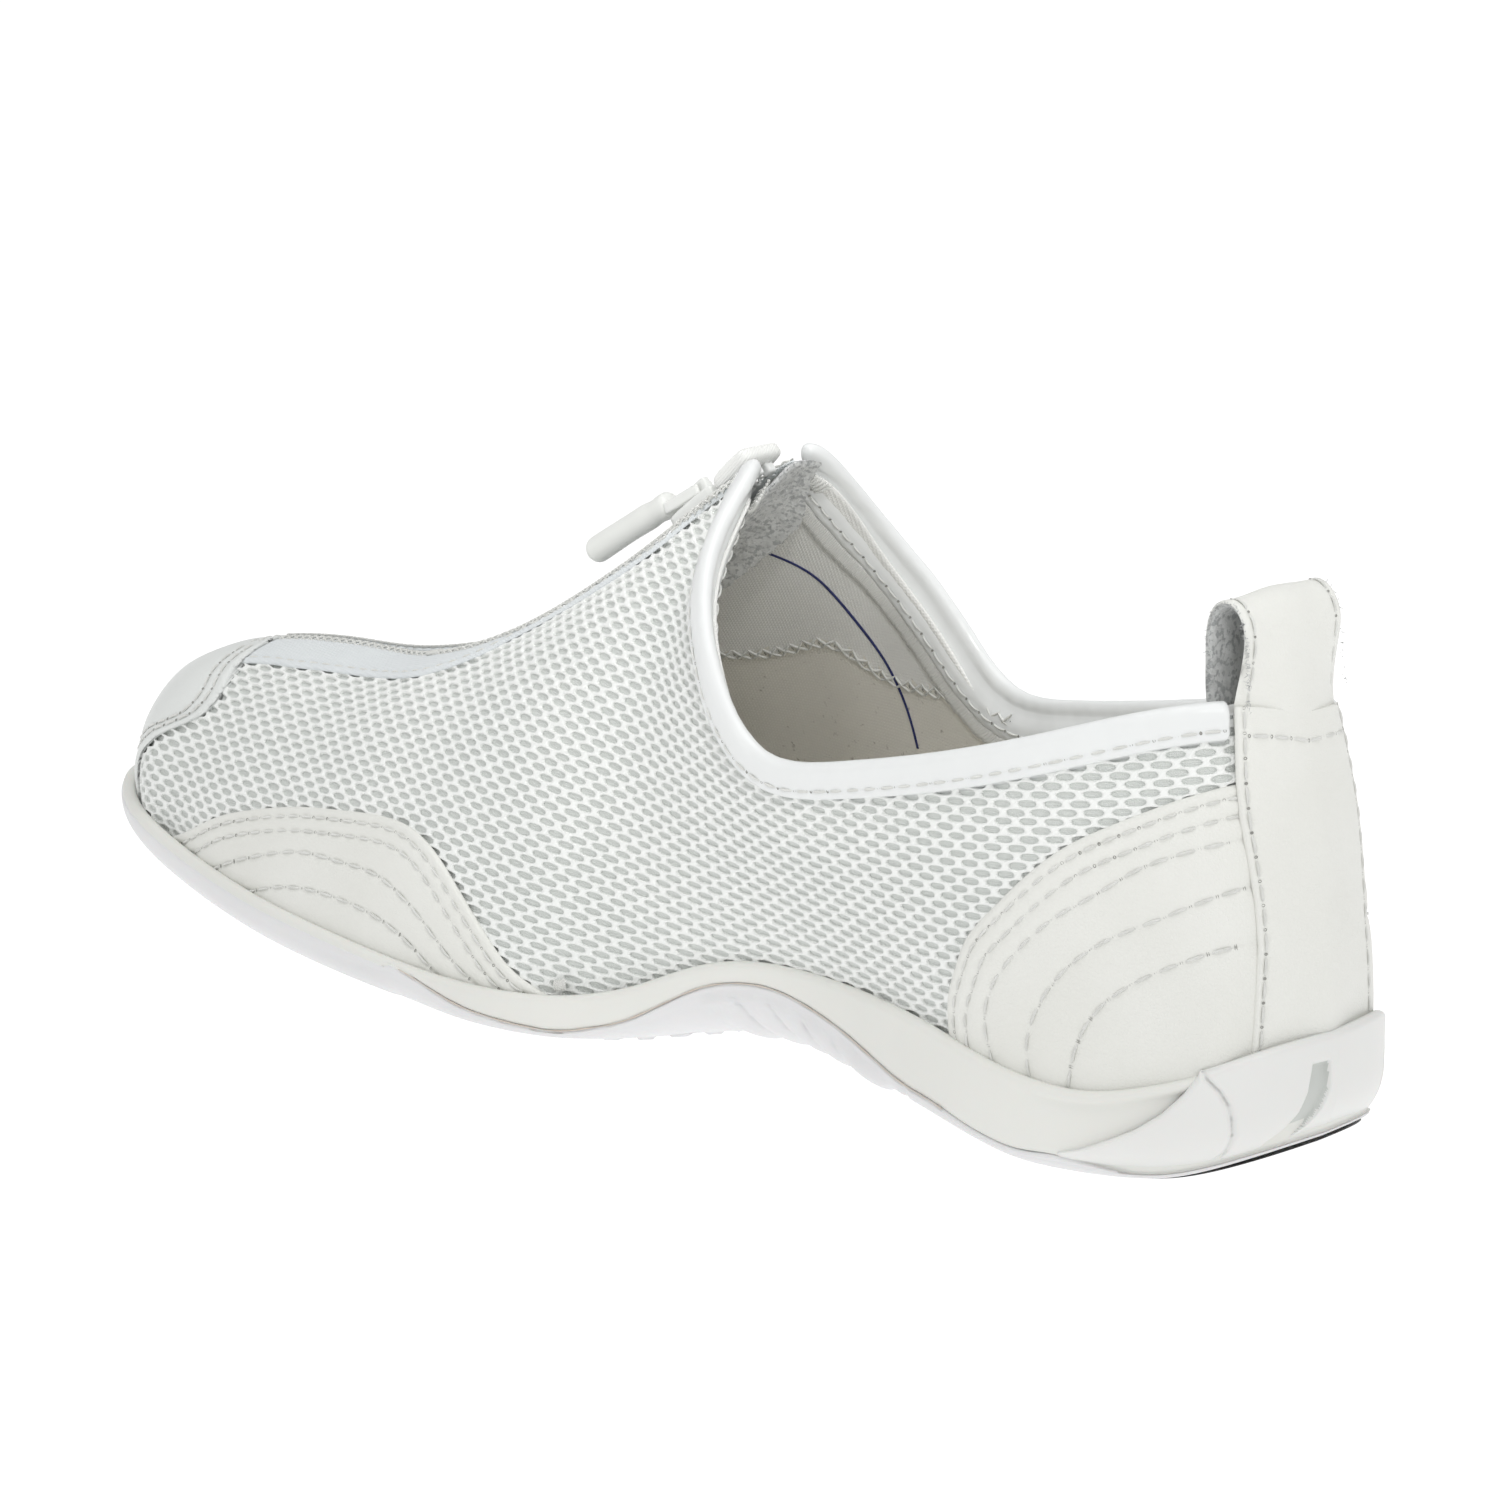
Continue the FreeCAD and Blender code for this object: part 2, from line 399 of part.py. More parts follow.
# ================================================================== UPPER
lo0 = lambda u: 0.0
for side, nm in ((1, "medial"), (-1, "lateral")):
    vt = vtop_tab(side, I_MESH)
    feature("mesh_quarter_"+nm, patch(side, 0.003, 0.997, lo0, vt, O_MESH, I_MESH, 60, 14))
    vl = vtop_tab(side, I_LIN)
    feature("lining_"+nm, patch(side, 0.003, 0.997, lo0, vl, O_LIN, I_LIN, 60, 14))
    # foam behind the collar, between mesh and lining
    vf = vtop_tab(side, I_STIF)
    va = lin([(0.10,0.725),(0.19,0.725),(0.24,0.64),(0.30,0.60),(0.44,0.72)])
    feature("collar_foam_"+nm, patch(side, 0.10, 0.44, va, vf, O_STIF-0.15, I_STIF+0.15, 28, 4))
    # leather overlays
    he_edge = lin([(0.0,0.778),(0.0575,0.775),(0.07,0.769),(0.10,0.75),(0.1275,0.725),(0.155,0.6875),(0.1775,0.625),(0.1975,0.5438),(0.2125,0.4688),(0.2225,0.375),(0.230,0.2812),(0.236,0.12),(0.2365,0.04)])
    # the lower edge ends at the rim of the cup round the back of the heel
    he_low = lin([(0.0,0.24),(0.02,0.228),(0.04,0.213),(0.0556,0.20),(0.075,0.178),(0.09,0.164),(0.111,0.152),(0.13,0.07),(0.15,0.04),(0.165,0.05),(0.18,0.09),(0.19,0.10),(0.21,0.12),(0.23,0.14),(0.236,0.10)])
    feature("heel_overlay_"+nm, patch(side, 0.004, 0.236, he_low, he_edge, 0.0, -lg+0.14, 26, 8))
    ff_edge = lin([(0.47,0.03),(0.485,0.035),(0.50,0.045),(0.5225,0.0625),(0.5475,0.1188),(0.575,0.1938),(0.5975,0.2563),(0.625,0.3188),(0.6575,0.3625),(0.70,0.375),(0.7425,0.3563),(0.78,0.3063),(0.8175,0.225),(0.8525,0.1125),(0.875,0.05),(0.88,0.04)])
    feature("forefoot_overlay_"+nm, patch(side, 0.485, 0.878, lo0, ff_edge, 0.0, -lg+0.14, 40, 5))
    # leather band beside the zip, from the throat to the toe cap
    vb1 = vtop_tab(side, -lg)
    band_lo = lin([(0.50,0.86),(0.54,0.875),(0.60,0.90),(0.64,0.915),(0.6625,0.905),(0.67,0.8813),(0.6875,0.85),(0.71,0.8313),(0.7625,0.8125),(0.805,0.7875),(0.855,0.7563),(0.9025,0.7625)])
    feature("zip_band_"+nm, patch(side, 0.512, 0.893, band_lo, vb1, 0.0, -lg, 44, 4))
    # rolled binding round the collar
    bi, bo = S("binding_in"), S("binding_out")
    def vb_lo(u, side=side):
        return min(1.0-collar_margin(u), vtop(side, u, I_LIN))+0.008
    def vb_hi(u, side=side):
        return min(1.0, vstop(side, u, -bi))
    tl = lin([(i/60.0, vb_lo(i/60.0)) for i in range(0, 32)])
    thh = lin([(i/60.0, max(vb_hi(i/60.0), vb_lo(i/60.0)+0.02)) for i in range(0, 32)])
    feature("collar_binding_"+nm, patch(side, 0.060, 0.503, tl, thh, bo, -bi, 36, 4))
# stiffeners and pieces that cross the centre line
cw = lambda v: 0.19-0.05*v
feature("heel_counter", wrap(lambda v: 0.195-0.09*v, 0.0, 0.70, O_STIF-0.25, I_STIF+0.25, 30, 10))
feature("toe_puff", wrap(lambda v: 0.165-0.05*v, 0.03, 0.84, O_STIF-0.45, I_STIF+0.2, 30, 10, at_toe=True))
cap = lin([(0.0,0.052),(0.1875,0.0525),(0.3375,0.065),(0.4125,0.0825),(0.4625,0.1025),(0.5188,0.1075),(0.5875,0.1075),(0.6875,0.0975),(0.7938,0.0925),(0.95,0.0885)])
feature("toe_cap", wrap(cap, 0.0, 0.965, 0.0, -lg+0.2, 26, 14, at_toe=True))
strip = lin([(0.0,0.0435),(0.2125,0.045),(0.4375,0.0425),(0.525,0.045),(0.62,0.05),(0.70,0.0545),(0.7875,0.0565),(1.0,0.0565)])
feature("back_stay", wrap(strip, 0.26, 0.985, gp+0.0+lg, gp, 12, 10))

# pull loop: one folded strip, open through from side to side
loop = doc.addObject("PartDesign::Body", "pull_loop")
sk = sketch(loop, "pull_loop_side", "XZ_Plane")
lgx = S("loop_gauge")
oc = [(6.3,76.3),(6.35,79),(6.5,84),(7.3,88.6),(10.2,91.7),(13.2,90.8),(14.8,87.6),(14.7,82.5),(14.3,79),(14.0,76.3)]
c1 = Part.BSplineCurve(); c1.interpolate([V(x, z, 0) for x, z in oc])
ic = []
for i, (x, z) in enumerate(oc):
    a = oc[max(0, i-1)]; b = oc[min(len(oc)-1, i+1)]
    tx, tz = b[0]-a[0], b[1]-a[1]; l = math.hypot(tx, tz)
    ic.append((x+tz/l*lgx, z-tx/l*lgx))
ic[0] = (ic[0][0], 76.3); ic[-1] = (ic[-1][0], 76.3)
c2 = Part.BSplineCurve(); c2.interpolate([V(x, z, 0) for x, z in ic])
sk.addGeometry(c1, False); sk.addGeometry(c2, False)
sk.addGeometry(Part.LineSegment(V(oc[0][0], oc[0][1], 0), V(ic[0][0], ic[0][1], 0)), False)
sk.addGeometry(Part.LineSegment(V(oc[-1][0], oc[-1][1], 0), V(ic[-1][0], ic[-1][1], 0)), False)
pad(loop, sk, "Sizes.loop_width", sym=True)
node(loop, "pull_loop")

# ================================================================== ZIP
AX, AZ, AR = S("arc_x"), S("arc_z"), S("arc_radius")
def ang_at(x): return math.asin((AX-x)/AR)
def arc_pt(th, r): return V(AX-r*math.sin(th), AZ-r*math.cos(th), 0)
def sector(sk, th0, th1, r0, r1):
    m = 0.5*(th0+th1)
    sk.addGeometry(Part.Arc(arc_pt(th0, r0), arc_pt(m, r0), arc_pt(th1, r0)), False)
    sk.addGeometry(Part.LineSegment(arc_pt(th1, r0), arc_pt(th1, r1)), False)
    sk.addGeometry(Part.Arc(arc_pt(th1, r1), arc_pt(m, r1), arc_pt(th0, r1)), False)
    sk.addGeometry(Part.LineSegment(arc_pt(th0, r1), arc_pt(th0, r0)), False)
def arc_body(name, th0, th1, r0, r1, y0, y1):
    b = doc.addObject("PartDesign::Body", name)
    sk = sketch(b, name+"_side", "XZ_Plane")
    # sketch normal is -Y, so a negative offset moves the sketch to +Y
    sk.AttachmentOffset = FreeCAD.Placement(V(0, 0, -y1), FreeCAD.Rotation())
    sector(sk, th0, th1, r0, r1)
    p = b.newObject("PartDesign::Pad", name+"_pad"); p.Profile = sk; p.Length = y1-y0
    doc.recompute(); check(p)
    bb = b.Shape.BoundBox
    if abs(bb.YMin-y0) > 0.01 or abs(bb.YMax-y1) > 0.01: raise RuntimeError("%s lies at y %.2f..%.2f" % (name, bb.YMin, bb.YMax))
    return b
T_TOP, T_END = ang_at(119.5), ang_at(180.5)
tg, th_ = S("chain_gap"), S("chain_half")
ti, to_ = S("tape_in"), S("tape_out")
for side, nm in ((1, "medial"), (-1, "lateral")):
    a, b = sorted((side*tg, side*th_))
    node(arc_body("zip_chain_"+nm, T_TOP, T_END, AR+0.95, AR+2.75, a, b), "zip_chain_"+nm)
    a, b = sorted((side*ti, side*to_))
    node(arc_body("zip_tape_"+nm, ang_at(119.5), ang_at(186.0), AR+1.95, AR+2.45, a, b), "zip_tape_"+nm)
node(arc_body("zip_bottom_stop", ang_at(181.0), ang_at(184.2), AR-0.1, AR+2.9, -2.36, 2.36), "zip_bottom_stop")
ts = [arc_body("top_stop_%d" % i, ang_at(117.6), ang_at(119.3), AR+0.7, AR+2.9, *sorted((s*tg, s*th_))) for i, s in ((1, 1), (2, -1))]
tc = doc.addObject("Part::Compound", "zip_top_stops"); tc.Links = ts; doc.recompute(); node(tc, "zip_top_stops")
node(arc_body("zip_garage", ang_at(116.6), ang_at(124.0), AR-1.8, AR-0.8, -4.6, 4.6), "zip_garage")
node(arc_body("zip_guard", ang_at(113.0), ang_at(150.0), AR+5.3, AR+6.2, -S("guard_half"), S("guard_half")), "zip_guard")
# slider: two wings joined by a blade that runs in the gap of the chain
X_S = 129.6
th_s = ang_at(X_S); dth = S("slider_len")/2/AR
sh = S("slider_half"); bh = S("blade_half")
top_w = arc_body("slider_top_wing", th_s+dth, th_s-dth, AR-1.75, AR+0.6, -sh, sh)
bot_w = arc_body("slider_under_wing", th_s+dth, th_s-dth, AR+3.1, AR+4.2, -sh+0.4, sh-0.4)
blade = arc_body("slider_blade", th_s+dth*0.7, th_s+dth*0.1, AR+0.3, AR+3.4, -bh, bh)
lug = arc_body("slider_lug", th_s+dth*0.62, th_s-dth*0.30, AR-4.7, AR-1.5, -0.85, 0.85)
PIV_R = AR-3.3
th_p = th_s+dth*0.16
pv = arc_pt(th_p, PIV_R)
hole = doc.addObject("Part::Cylinder", "slider_lug_hole")
hole.Radius = 0.95; hole.Height = 6
hole.Placement = FreeCAD.Placement(V(pv.x, 3, pv.y), FreeCAD.Rotation(V(1, 0, 0), 90))
fu = doc.addObject("Part::MultiFuse", "slider_solid"); fu.Shapes = [top_w, bot_w, blade, lug]
doc.recompute()
slider = cut("zip_slider", fu, hole); node(slider, "zip_slider")
# pull: pin through the lug, two arms, and a rubber grip moulded over the arms' bridge
slope = math.atan2(-math.cos(th_p)*0+0, 1)
tang = V(math.cos(th_p), 0, -math.sin(th_p))       # down the instep
rest = 7.0*math.pi/180
d = V(tang.x*math.cos(rest)-tang.z*math.sin(rest), 0, tang.z*math.cos(rest)+tang.x*math.sin(rest))
rot_pull = FreeCAD.Rotation(V(1, 0, 0), d)
org = V(pv.x, 0, pv.y)
pin = doc.addObject("Part::Cylinder", "pull_pin"); pin.setExpression("Radius", "Sizes.pin_radius"); pin.Height = 4.4
pin.Placement = FreeCAD.Placement(V(pv.x, 2.2, pv.y), FreeCAD.Rotation(V(1, 0, 0), 90))
arms = []
for s in (1, -1):
    a = doc.addObject("Part::Box", "pull_arm_%d" % (1 if s > 0 else 2))
    a.setExpression("Length", "Sizes.link_reach"); a.Width = 0.9; a.Height = 1.2
    loc = rot_pull.multVec(V(0, (1.3 if s > 0 else -2.2), -0.6))
    a.Placement = FreeCAD.Placement(org.add(loc), rot_pull)
    arms.append(a)
tongue = doc.addObject("Part::Box", "pull_tongue"); tongue.Length = 14.0; tongue.Width = 3.0; tongue.Height = 1.2
lr = S("link_reach")
tongue.Placement = FreeCAD.Placement(org.add(rot_pull.multVec(V(lr-1.2, -1.5, -0.6))), rot_pull)
lf = doc.addObject("Part::MultiFuse", "pull_link"); lf.Shapes = [pin]+arms+[tongue]
doc.recompute(); check(lf); node(lf, "pull_link")
gr = doc.addObject("Part::Cylinder", "grip_core"); gr.setExpression("Radius", "Sizes.grip_radius"); gr.setExpression("Height", "Sizes.grip_len")
r2 = rot_pull.multiply(FreeCAD.Rotation(V(0, 1, 0), 90))
gr.Placement = FreeCAD.Placement(org.add(rot_pull.multVec(V(lr-0.6, 0, 0))), r2)
doc.recompute()
grf = doc.addObject("Part::Fillet", "grip_rounded"); grf.Base = gr
grf.Edges = [(i+1, 1.4, 1.4) for i, ed in enumerate(gr.Shape.Edges) if ed.Curve.TypeId == "Part::GeomCircle"]
doc.recompute(); check(grf)
grip = cut("pull_grip", grf, lf); node(grip, "pull_grip")

# ------------------------------------------------------------------ shared placement: origin under the middle of the shoe
base = FreeCAD.Placement(V(-S("ctr_x"), -S("ctr_y"), 0), FreeCAD.Rotation())
doc.recompute()
shapes = []
for o, lb in NODES:
    check(o)
    s = o.Shape.copy()
    if s.isNull() or not s.isValid(): raise RuntimeError("%s has a bad shape" % lb)
    shapes.append((o, lb))
# bodies and features move by their own Placement
TOP = [o for o, lb in NODES]
for o, lb in NODES:
    o.Placement = base.multiply(o.Placement)
os.makedirs("parts", exist_ok=True)
box = FreeCAD.BoundBox()
for o, lb in NODES:
    s = o.Shape
    if s.isNull() or not s.isValid(): raise RuntimeError("%s has a bad shape" % lb)
    s.exportStep("parts/%s.step" % lb)
    box.add(s.BoundBox)
    bb = s.BoundBox
    print("%-24s vol %9.1f  x %7.1f %7.1f  y %6.1f %6.1f  z %5.1f %5.1f  solids %d" % (lb, s.Volume, bb.XMin, bb.XMax, bb.YMin, bb.YMax, bb.ZMin, bb.ZMax, len(s.Solids)))
print("nodes", len(NODES), "box", box)
pb = base.multVec(org); print("pivot", pb, "arc", base.multVec(V(AX, 0, AZ)), "slider angle", math.degrees(th_s), "end", math.degrees(ang_at(173.6)))
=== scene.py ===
# Looks of the zip-front training shoe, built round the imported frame. Millimetres in the shoe's own
# frame (+X heel to toe, +Y inner side, +Z up) are turned into the row frame in metres by R3().
import sys
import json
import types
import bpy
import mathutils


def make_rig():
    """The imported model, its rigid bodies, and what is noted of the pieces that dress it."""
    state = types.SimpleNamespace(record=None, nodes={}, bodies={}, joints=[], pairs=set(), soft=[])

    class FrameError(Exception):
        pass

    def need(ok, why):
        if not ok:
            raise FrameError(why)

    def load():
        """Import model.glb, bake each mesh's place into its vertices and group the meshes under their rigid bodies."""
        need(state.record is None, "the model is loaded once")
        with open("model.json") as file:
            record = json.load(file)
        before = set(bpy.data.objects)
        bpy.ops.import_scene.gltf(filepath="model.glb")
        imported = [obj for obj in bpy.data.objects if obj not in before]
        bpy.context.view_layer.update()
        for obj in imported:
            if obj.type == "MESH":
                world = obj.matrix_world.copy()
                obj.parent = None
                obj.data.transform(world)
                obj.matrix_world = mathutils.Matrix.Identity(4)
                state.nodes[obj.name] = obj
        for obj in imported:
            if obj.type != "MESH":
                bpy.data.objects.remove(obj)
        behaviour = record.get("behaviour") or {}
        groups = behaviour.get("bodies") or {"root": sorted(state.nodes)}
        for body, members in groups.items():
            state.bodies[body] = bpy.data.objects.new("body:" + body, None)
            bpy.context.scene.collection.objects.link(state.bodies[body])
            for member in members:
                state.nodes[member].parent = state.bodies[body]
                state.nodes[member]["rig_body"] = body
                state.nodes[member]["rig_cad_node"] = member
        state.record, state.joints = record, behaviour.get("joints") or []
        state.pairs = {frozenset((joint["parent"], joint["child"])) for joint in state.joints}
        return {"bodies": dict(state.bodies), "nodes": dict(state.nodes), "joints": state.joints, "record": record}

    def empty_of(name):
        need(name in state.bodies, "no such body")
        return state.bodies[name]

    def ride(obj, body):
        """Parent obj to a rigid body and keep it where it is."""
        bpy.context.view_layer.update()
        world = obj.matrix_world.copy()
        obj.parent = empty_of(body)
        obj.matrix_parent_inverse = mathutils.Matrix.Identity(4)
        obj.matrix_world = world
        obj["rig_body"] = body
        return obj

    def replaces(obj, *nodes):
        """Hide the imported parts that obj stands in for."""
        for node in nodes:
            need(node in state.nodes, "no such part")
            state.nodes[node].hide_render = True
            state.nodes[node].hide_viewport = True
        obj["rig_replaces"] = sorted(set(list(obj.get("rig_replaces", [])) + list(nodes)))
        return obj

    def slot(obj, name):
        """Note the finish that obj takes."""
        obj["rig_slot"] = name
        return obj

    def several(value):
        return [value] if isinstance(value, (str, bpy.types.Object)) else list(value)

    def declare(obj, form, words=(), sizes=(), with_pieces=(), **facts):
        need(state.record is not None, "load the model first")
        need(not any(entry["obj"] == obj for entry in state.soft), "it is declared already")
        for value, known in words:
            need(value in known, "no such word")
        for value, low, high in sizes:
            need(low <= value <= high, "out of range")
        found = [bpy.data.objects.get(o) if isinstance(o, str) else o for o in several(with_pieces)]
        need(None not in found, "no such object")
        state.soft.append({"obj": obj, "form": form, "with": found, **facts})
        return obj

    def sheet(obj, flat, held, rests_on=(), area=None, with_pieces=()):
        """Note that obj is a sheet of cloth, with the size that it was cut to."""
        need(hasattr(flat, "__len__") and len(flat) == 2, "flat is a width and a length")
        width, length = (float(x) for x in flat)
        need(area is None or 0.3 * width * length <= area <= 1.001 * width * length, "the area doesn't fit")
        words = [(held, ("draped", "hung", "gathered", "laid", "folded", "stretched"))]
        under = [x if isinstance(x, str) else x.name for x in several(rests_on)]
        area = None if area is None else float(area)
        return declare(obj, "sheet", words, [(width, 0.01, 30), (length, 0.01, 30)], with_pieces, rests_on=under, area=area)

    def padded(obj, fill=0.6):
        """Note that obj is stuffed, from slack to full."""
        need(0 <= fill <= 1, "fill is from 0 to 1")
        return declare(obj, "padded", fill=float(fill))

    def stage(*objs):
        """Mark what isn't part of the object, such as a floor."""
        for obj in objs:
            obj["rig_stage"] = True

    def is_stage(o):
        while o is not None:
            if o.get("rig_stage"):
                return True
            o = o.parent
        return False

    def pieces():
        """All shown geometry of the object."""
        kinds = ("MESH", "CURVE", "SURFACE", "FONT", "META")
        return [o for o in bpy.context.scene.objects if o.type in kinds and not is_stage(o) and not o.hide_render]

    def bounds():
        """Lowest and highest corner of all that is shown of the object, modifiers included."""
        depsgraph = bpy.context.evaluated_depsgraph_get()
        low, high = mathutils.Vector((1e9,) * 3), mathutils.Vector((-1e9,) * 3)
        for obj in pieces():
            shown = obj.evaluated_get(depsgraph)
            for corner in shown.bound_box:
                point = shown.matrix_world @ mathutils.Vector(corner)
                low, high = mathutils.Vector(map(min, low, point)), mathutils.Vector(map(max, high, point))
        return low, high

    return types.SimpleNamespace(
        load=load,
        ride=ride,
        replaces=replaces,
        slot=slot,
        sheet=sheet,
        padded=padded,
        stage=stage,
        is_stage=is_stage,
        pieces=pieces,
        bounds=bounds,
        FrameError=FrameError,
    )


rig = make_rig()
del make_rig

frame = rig.load()
import bpy, bmesh, json, math
import numpy as np
from mathutils import Vector, Matrix
from mathutils.kdtree import KDTree
CAD_LO, CAD_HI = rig.bounds()
CTR = np.array([134.77, -8.46, 0.0])
def R3(p): return (np.asarray(p, float)-CTR)/1000.0
def nz(a):
    a = np.asarray(a, float); l = np.linalg.norm(a, axis=-1, keepdims=True); return a/np.where(l < 1e-12, 1, l)
def sm(x, a, b):
    t = np.clip((np.asarray(x, float)-a)/(b-a), 0, 1); return t*t*(3-2*t)
class Spl:
    def __init__(s, t, p):
        s.t = np.asarray(t, float); p = np.asarray(p, float); s.one = p.ndim == 1
        s.p = p[:, None] if s.one else p
        n = len(s.t); h = np.diff(s.t); A = np.eye(n); R = np.zeros(s.p.shape)
        for i in range(1, n-1):
            A[i, i-1] = h[i-1]; A[i, i] = 2*(h[i-1]+h[i]); A[i, i+1] = h[i]
            R[i] = 6*((s.p[i+1]-s.p[i])/h[i]-(s.p[i]-s.p[i-1])/h[i-1])
        s.m = np.linalg.solve(A, R)
    def __call__(s, q):
        q = np.asarray(q, float); i = np.clip(np.searchsorted(s.t, q, side="right")-1, 0, len(s.t)-2)
        h = (s.t[i+1]-s.t[i])[..., None]; a = (s.t[i+1]-q)[..., None]/h; b = 1-a
        r = a*s.p[i]+b*s.p[i+1]+((a**3-a)*s.m[i]+(b**3-b)*s.m[i+1])*h*h/6
        return r[..., 0] if s.one else r
def tab(rows):
    s = Spl([q[0] for q in rows], [q[1] for q in rows]); lo, hi = rows[0][0], rows[-1][0]
    return lambda x: s(np.clip(x, lo, hi))
def lin(rows):
    X = [q[0] for q in rows]; Y = [q[1] for q in rows]
    return lambda x: np.interp(x, X, Y)
seat_z = tab([(-6,11.0),(30,10.8),(50,11.6),(70,12.8),(90,12.8),(108,10.4),(126,7.2),(142,5.9),(158,5.9),(176,6.8),(196,8.2),(216,11.2),(236,14.4),(252,16.8),(276,20.0)])
rim_z = tab([(-6,24.0),(0,22.6),(6,19.5),(14,16.6),(24,14.7),(33,15.1),(44,16.9),(55,19),(66,20),(78,20.4),(90,20.4),(102,19.4),(112,16.5),(122,12.0),(132,9.0),(146,7.8),(162,8.4),(178,10),(196,12),(214,14.2),(232,16.8),(246,18.8),(257,20.3),(268,21.6),(276,22.4)])
bot_z = tab([(-6,5.5),(0,3.6),(6,2.3),(16,1.4),(30,1.3),(44,3.5),(55,5.1),(66,6.4),(78,7.3),(90,7.9),(102,6.7),(112,4.6),(122,2.7),(132,1.5),(146,1.2),(162,1.8),(178,2.8),(196,4.4),(214,6.6),(232,9.4),(246,11.8),(257,13.7),(268,15.6),(276,17)])
OM = [[-3.0,0.6],[-0.6,10.6],[4.8,18.6],[13,24.8],[27,30.0],[42,31.4],[56,29.6],[70,26.4],[84,23.8],[98,23.4],[112,25.0],[127,28.4],[141,32.8],[156,35.6],[168,36.4],[180,36.5],[192,36.0],[204,35.0],[218,32.7],[234,28.9],[247,24.4],[258,18.4],[266,11.4],[270.8,4.0],[272.8,-6.0]]
OL = [[-3.0,0.6],[-1.6,-9.0],[1.8,-17.6],[7.6,-24.2],[16.5,-29.2],[29,-33.0],[44,-35.4],[60,-37.2],[78,-39.2],[96,-42.0],[114,-46.0],[132,-50.0],[150,-52.8],[168,-53.4],[186,-52.2],[204,-49.6],[220,-46.0],[236,-40.8],[249,-34.4],[260,-26.0],[268.2,-16.4],[272.8,-6.0]]
def outl(P):
    P = np.array(P, float); s = np.r_[0, np.cumsum(np.hypot(*np.diff(P, axis=0).T))]; return Spl(s/s[-1], P)
OUT = {1: outl(OM), -1: outl(OL)}
def out_xy(side, u, inset=0.0):
    """x, y of the sole outline moved inwards, and its outward normal"""
    u = np.asarray(u, float); sp = OUT[side]; e = 1e-3
    p = sp(u); t = nz(sp(np.minimum(1, u+e))-sp(np.maximum(0, u-e)))
    w = np.clip(u/0.03, 0, 1)[..., None]; t = nz(t*w+np.array([0.0, float(side)])*(1-w))
    w = np.clip((1-u)/0.03, 0, 1)[..., None]; t = nz(t*w+np.array([0.0, -float(side)])*(1-w))
    n = np.stack([-t[..., 1], t[..., 0]], -1)*side
    return p-n*np.asarray(inset, float)[..., None] if np.ndim(inset) else p-n*inset, n
_U = np.linspace(0, 1, 1001)
def near_u(side, x): return _U[np.argmin(np.abs(OUT[side](_U)[:, 0]-x))]
STM = [
 ((6.0,0.0,73.0),None,4,14,5.0,12), ((8.8,12.2,75.8),3.2,4,14,3.4,13), ((20.5,21.0,73.6),9,3,14,2.5,14),
 ((36,26.9,68.6),25,2,14,1.5,14), ((55,29.4,63.0),47,2,13,1,14), ((74,30.2,58.5),69,2.5,13,0,14),
 ((91.5,30.0,58.2),91,3,13,0,13), ((104.2,27.4,72.0),110,3,15,2,14), ((112.3,17.6,88.0),127,2,20,6,14),
 ((116.2,4.4,98.4),141,2,26,10,12), ((131,5.2,86.8),153,2,24,11,9), ((150,5.2,73.6),168,2,22,12,6.5),
 ((168,5.2,63.3),184,2,19,12,5), ((185,5.2,56.6),200,2.2,17,12,3.5), ((200,1.5,53.6),214,2.5,16,12,2.5),
 ((214,0.2,53.0),228,3,16,11,2), ((229,0.2,51.6),242,3,15,10,2), ((244,0.2,48.2),256,4.2,15,12,2.5),
 ((257,0.2,42.6),None,4.6,14,12.5,4)]
LT = {0:(6.0,0.0,73.0),1:(8.4,-12.2,72.2),2:(20.5,-21.0,69.4),3:(36,-26.9,65.5),4:(55,-29.4,61.4),5:(74,-30.2,58.2),6:(90.5,-32.4,58.8),7:(102.4,-30.2,72.4),8:(110.2,-20.0,88.4),9:(113.0,-5.2,100.2)}
def build(side):
    n = len(STM); rows = []
    for k, (T, bx, ho, hu, to, td) in enumerate(STM):
        T = list(LT[k]) if (side < 0 and k in LT) else [T[0], T[1]*side, T[2]]
        u = 0.0 if k == 0 else (1.0 if k == n-1 else near_u(side, bx))
        (x, y), (nx, ny) = out_xy(side, u, 2.6)
        B = [x, y, float(seat_z(x))+0.4]
        d = nz([B[0]-T[0], B[1]-T[1]])
        if k <= 6: d = np.array([nx, ny])
        elif k == 7: d = 0.5*d+0.5*np.array([nx, ny])
        if side < 0 and k > 7: to = to+3; ho = ho+0.5
        if side < 0 and 3 <= k <= 7: hu = hu+2
        rows.append(T+B+[nx*ho, ny*ho, hu]+[d[0]*to, d[1]*to, -td])
    return Spl(np.arange(n)/(n-1.0), np.array(rows, float))
SP = {1: build(1), -1: build(-1)}
def P0(side, u, v):
    u, v = np.broadcast_arrays(np.asarray(u, float), np.asarray(v, float))
    r = SP[side](np.clip(u, 0, 1)); T, B, hB, hT = r[..., 0:3], r[..., 3:6], r[..., 6:9], r[..., 9:12]
    v = v[..., None]; w = 1-v
    return B*w**3+3*(B+hB)*w*w*v+3*(T+hT)*w*v*v+T*v**3
def NR(side, u, v):
    u, v = np.broadcast_arrays(np.asarray(u, float), np.asarray(v, float)); e = 2e-3
    du = P0(side, np.minimum(1, u+e), v)-P0(side, np.maximum(0, u-e), v)
    dv = P0(side, u, np.minimum(1, v+e))-P0(side, u, np.maximum(0, v-e))
    n = nz(np.cross(du, dv))*(-side)
    w = np.where(u < 0.012, u/0.012, np.where(u > 0.985, (1-u)/0.015, 1.0))
    n = n.copy(); n[..., 1] *= w
    return nz(n)
def PT(side, u, v, off=0.0):
    return P0(side, u, v)+NR(side, u, v)*np.broadcast_to(np.asarray(off, float), np.broadcast_shapes(np.shape(u), np.shape(v), np.shape(off)))[..., None]
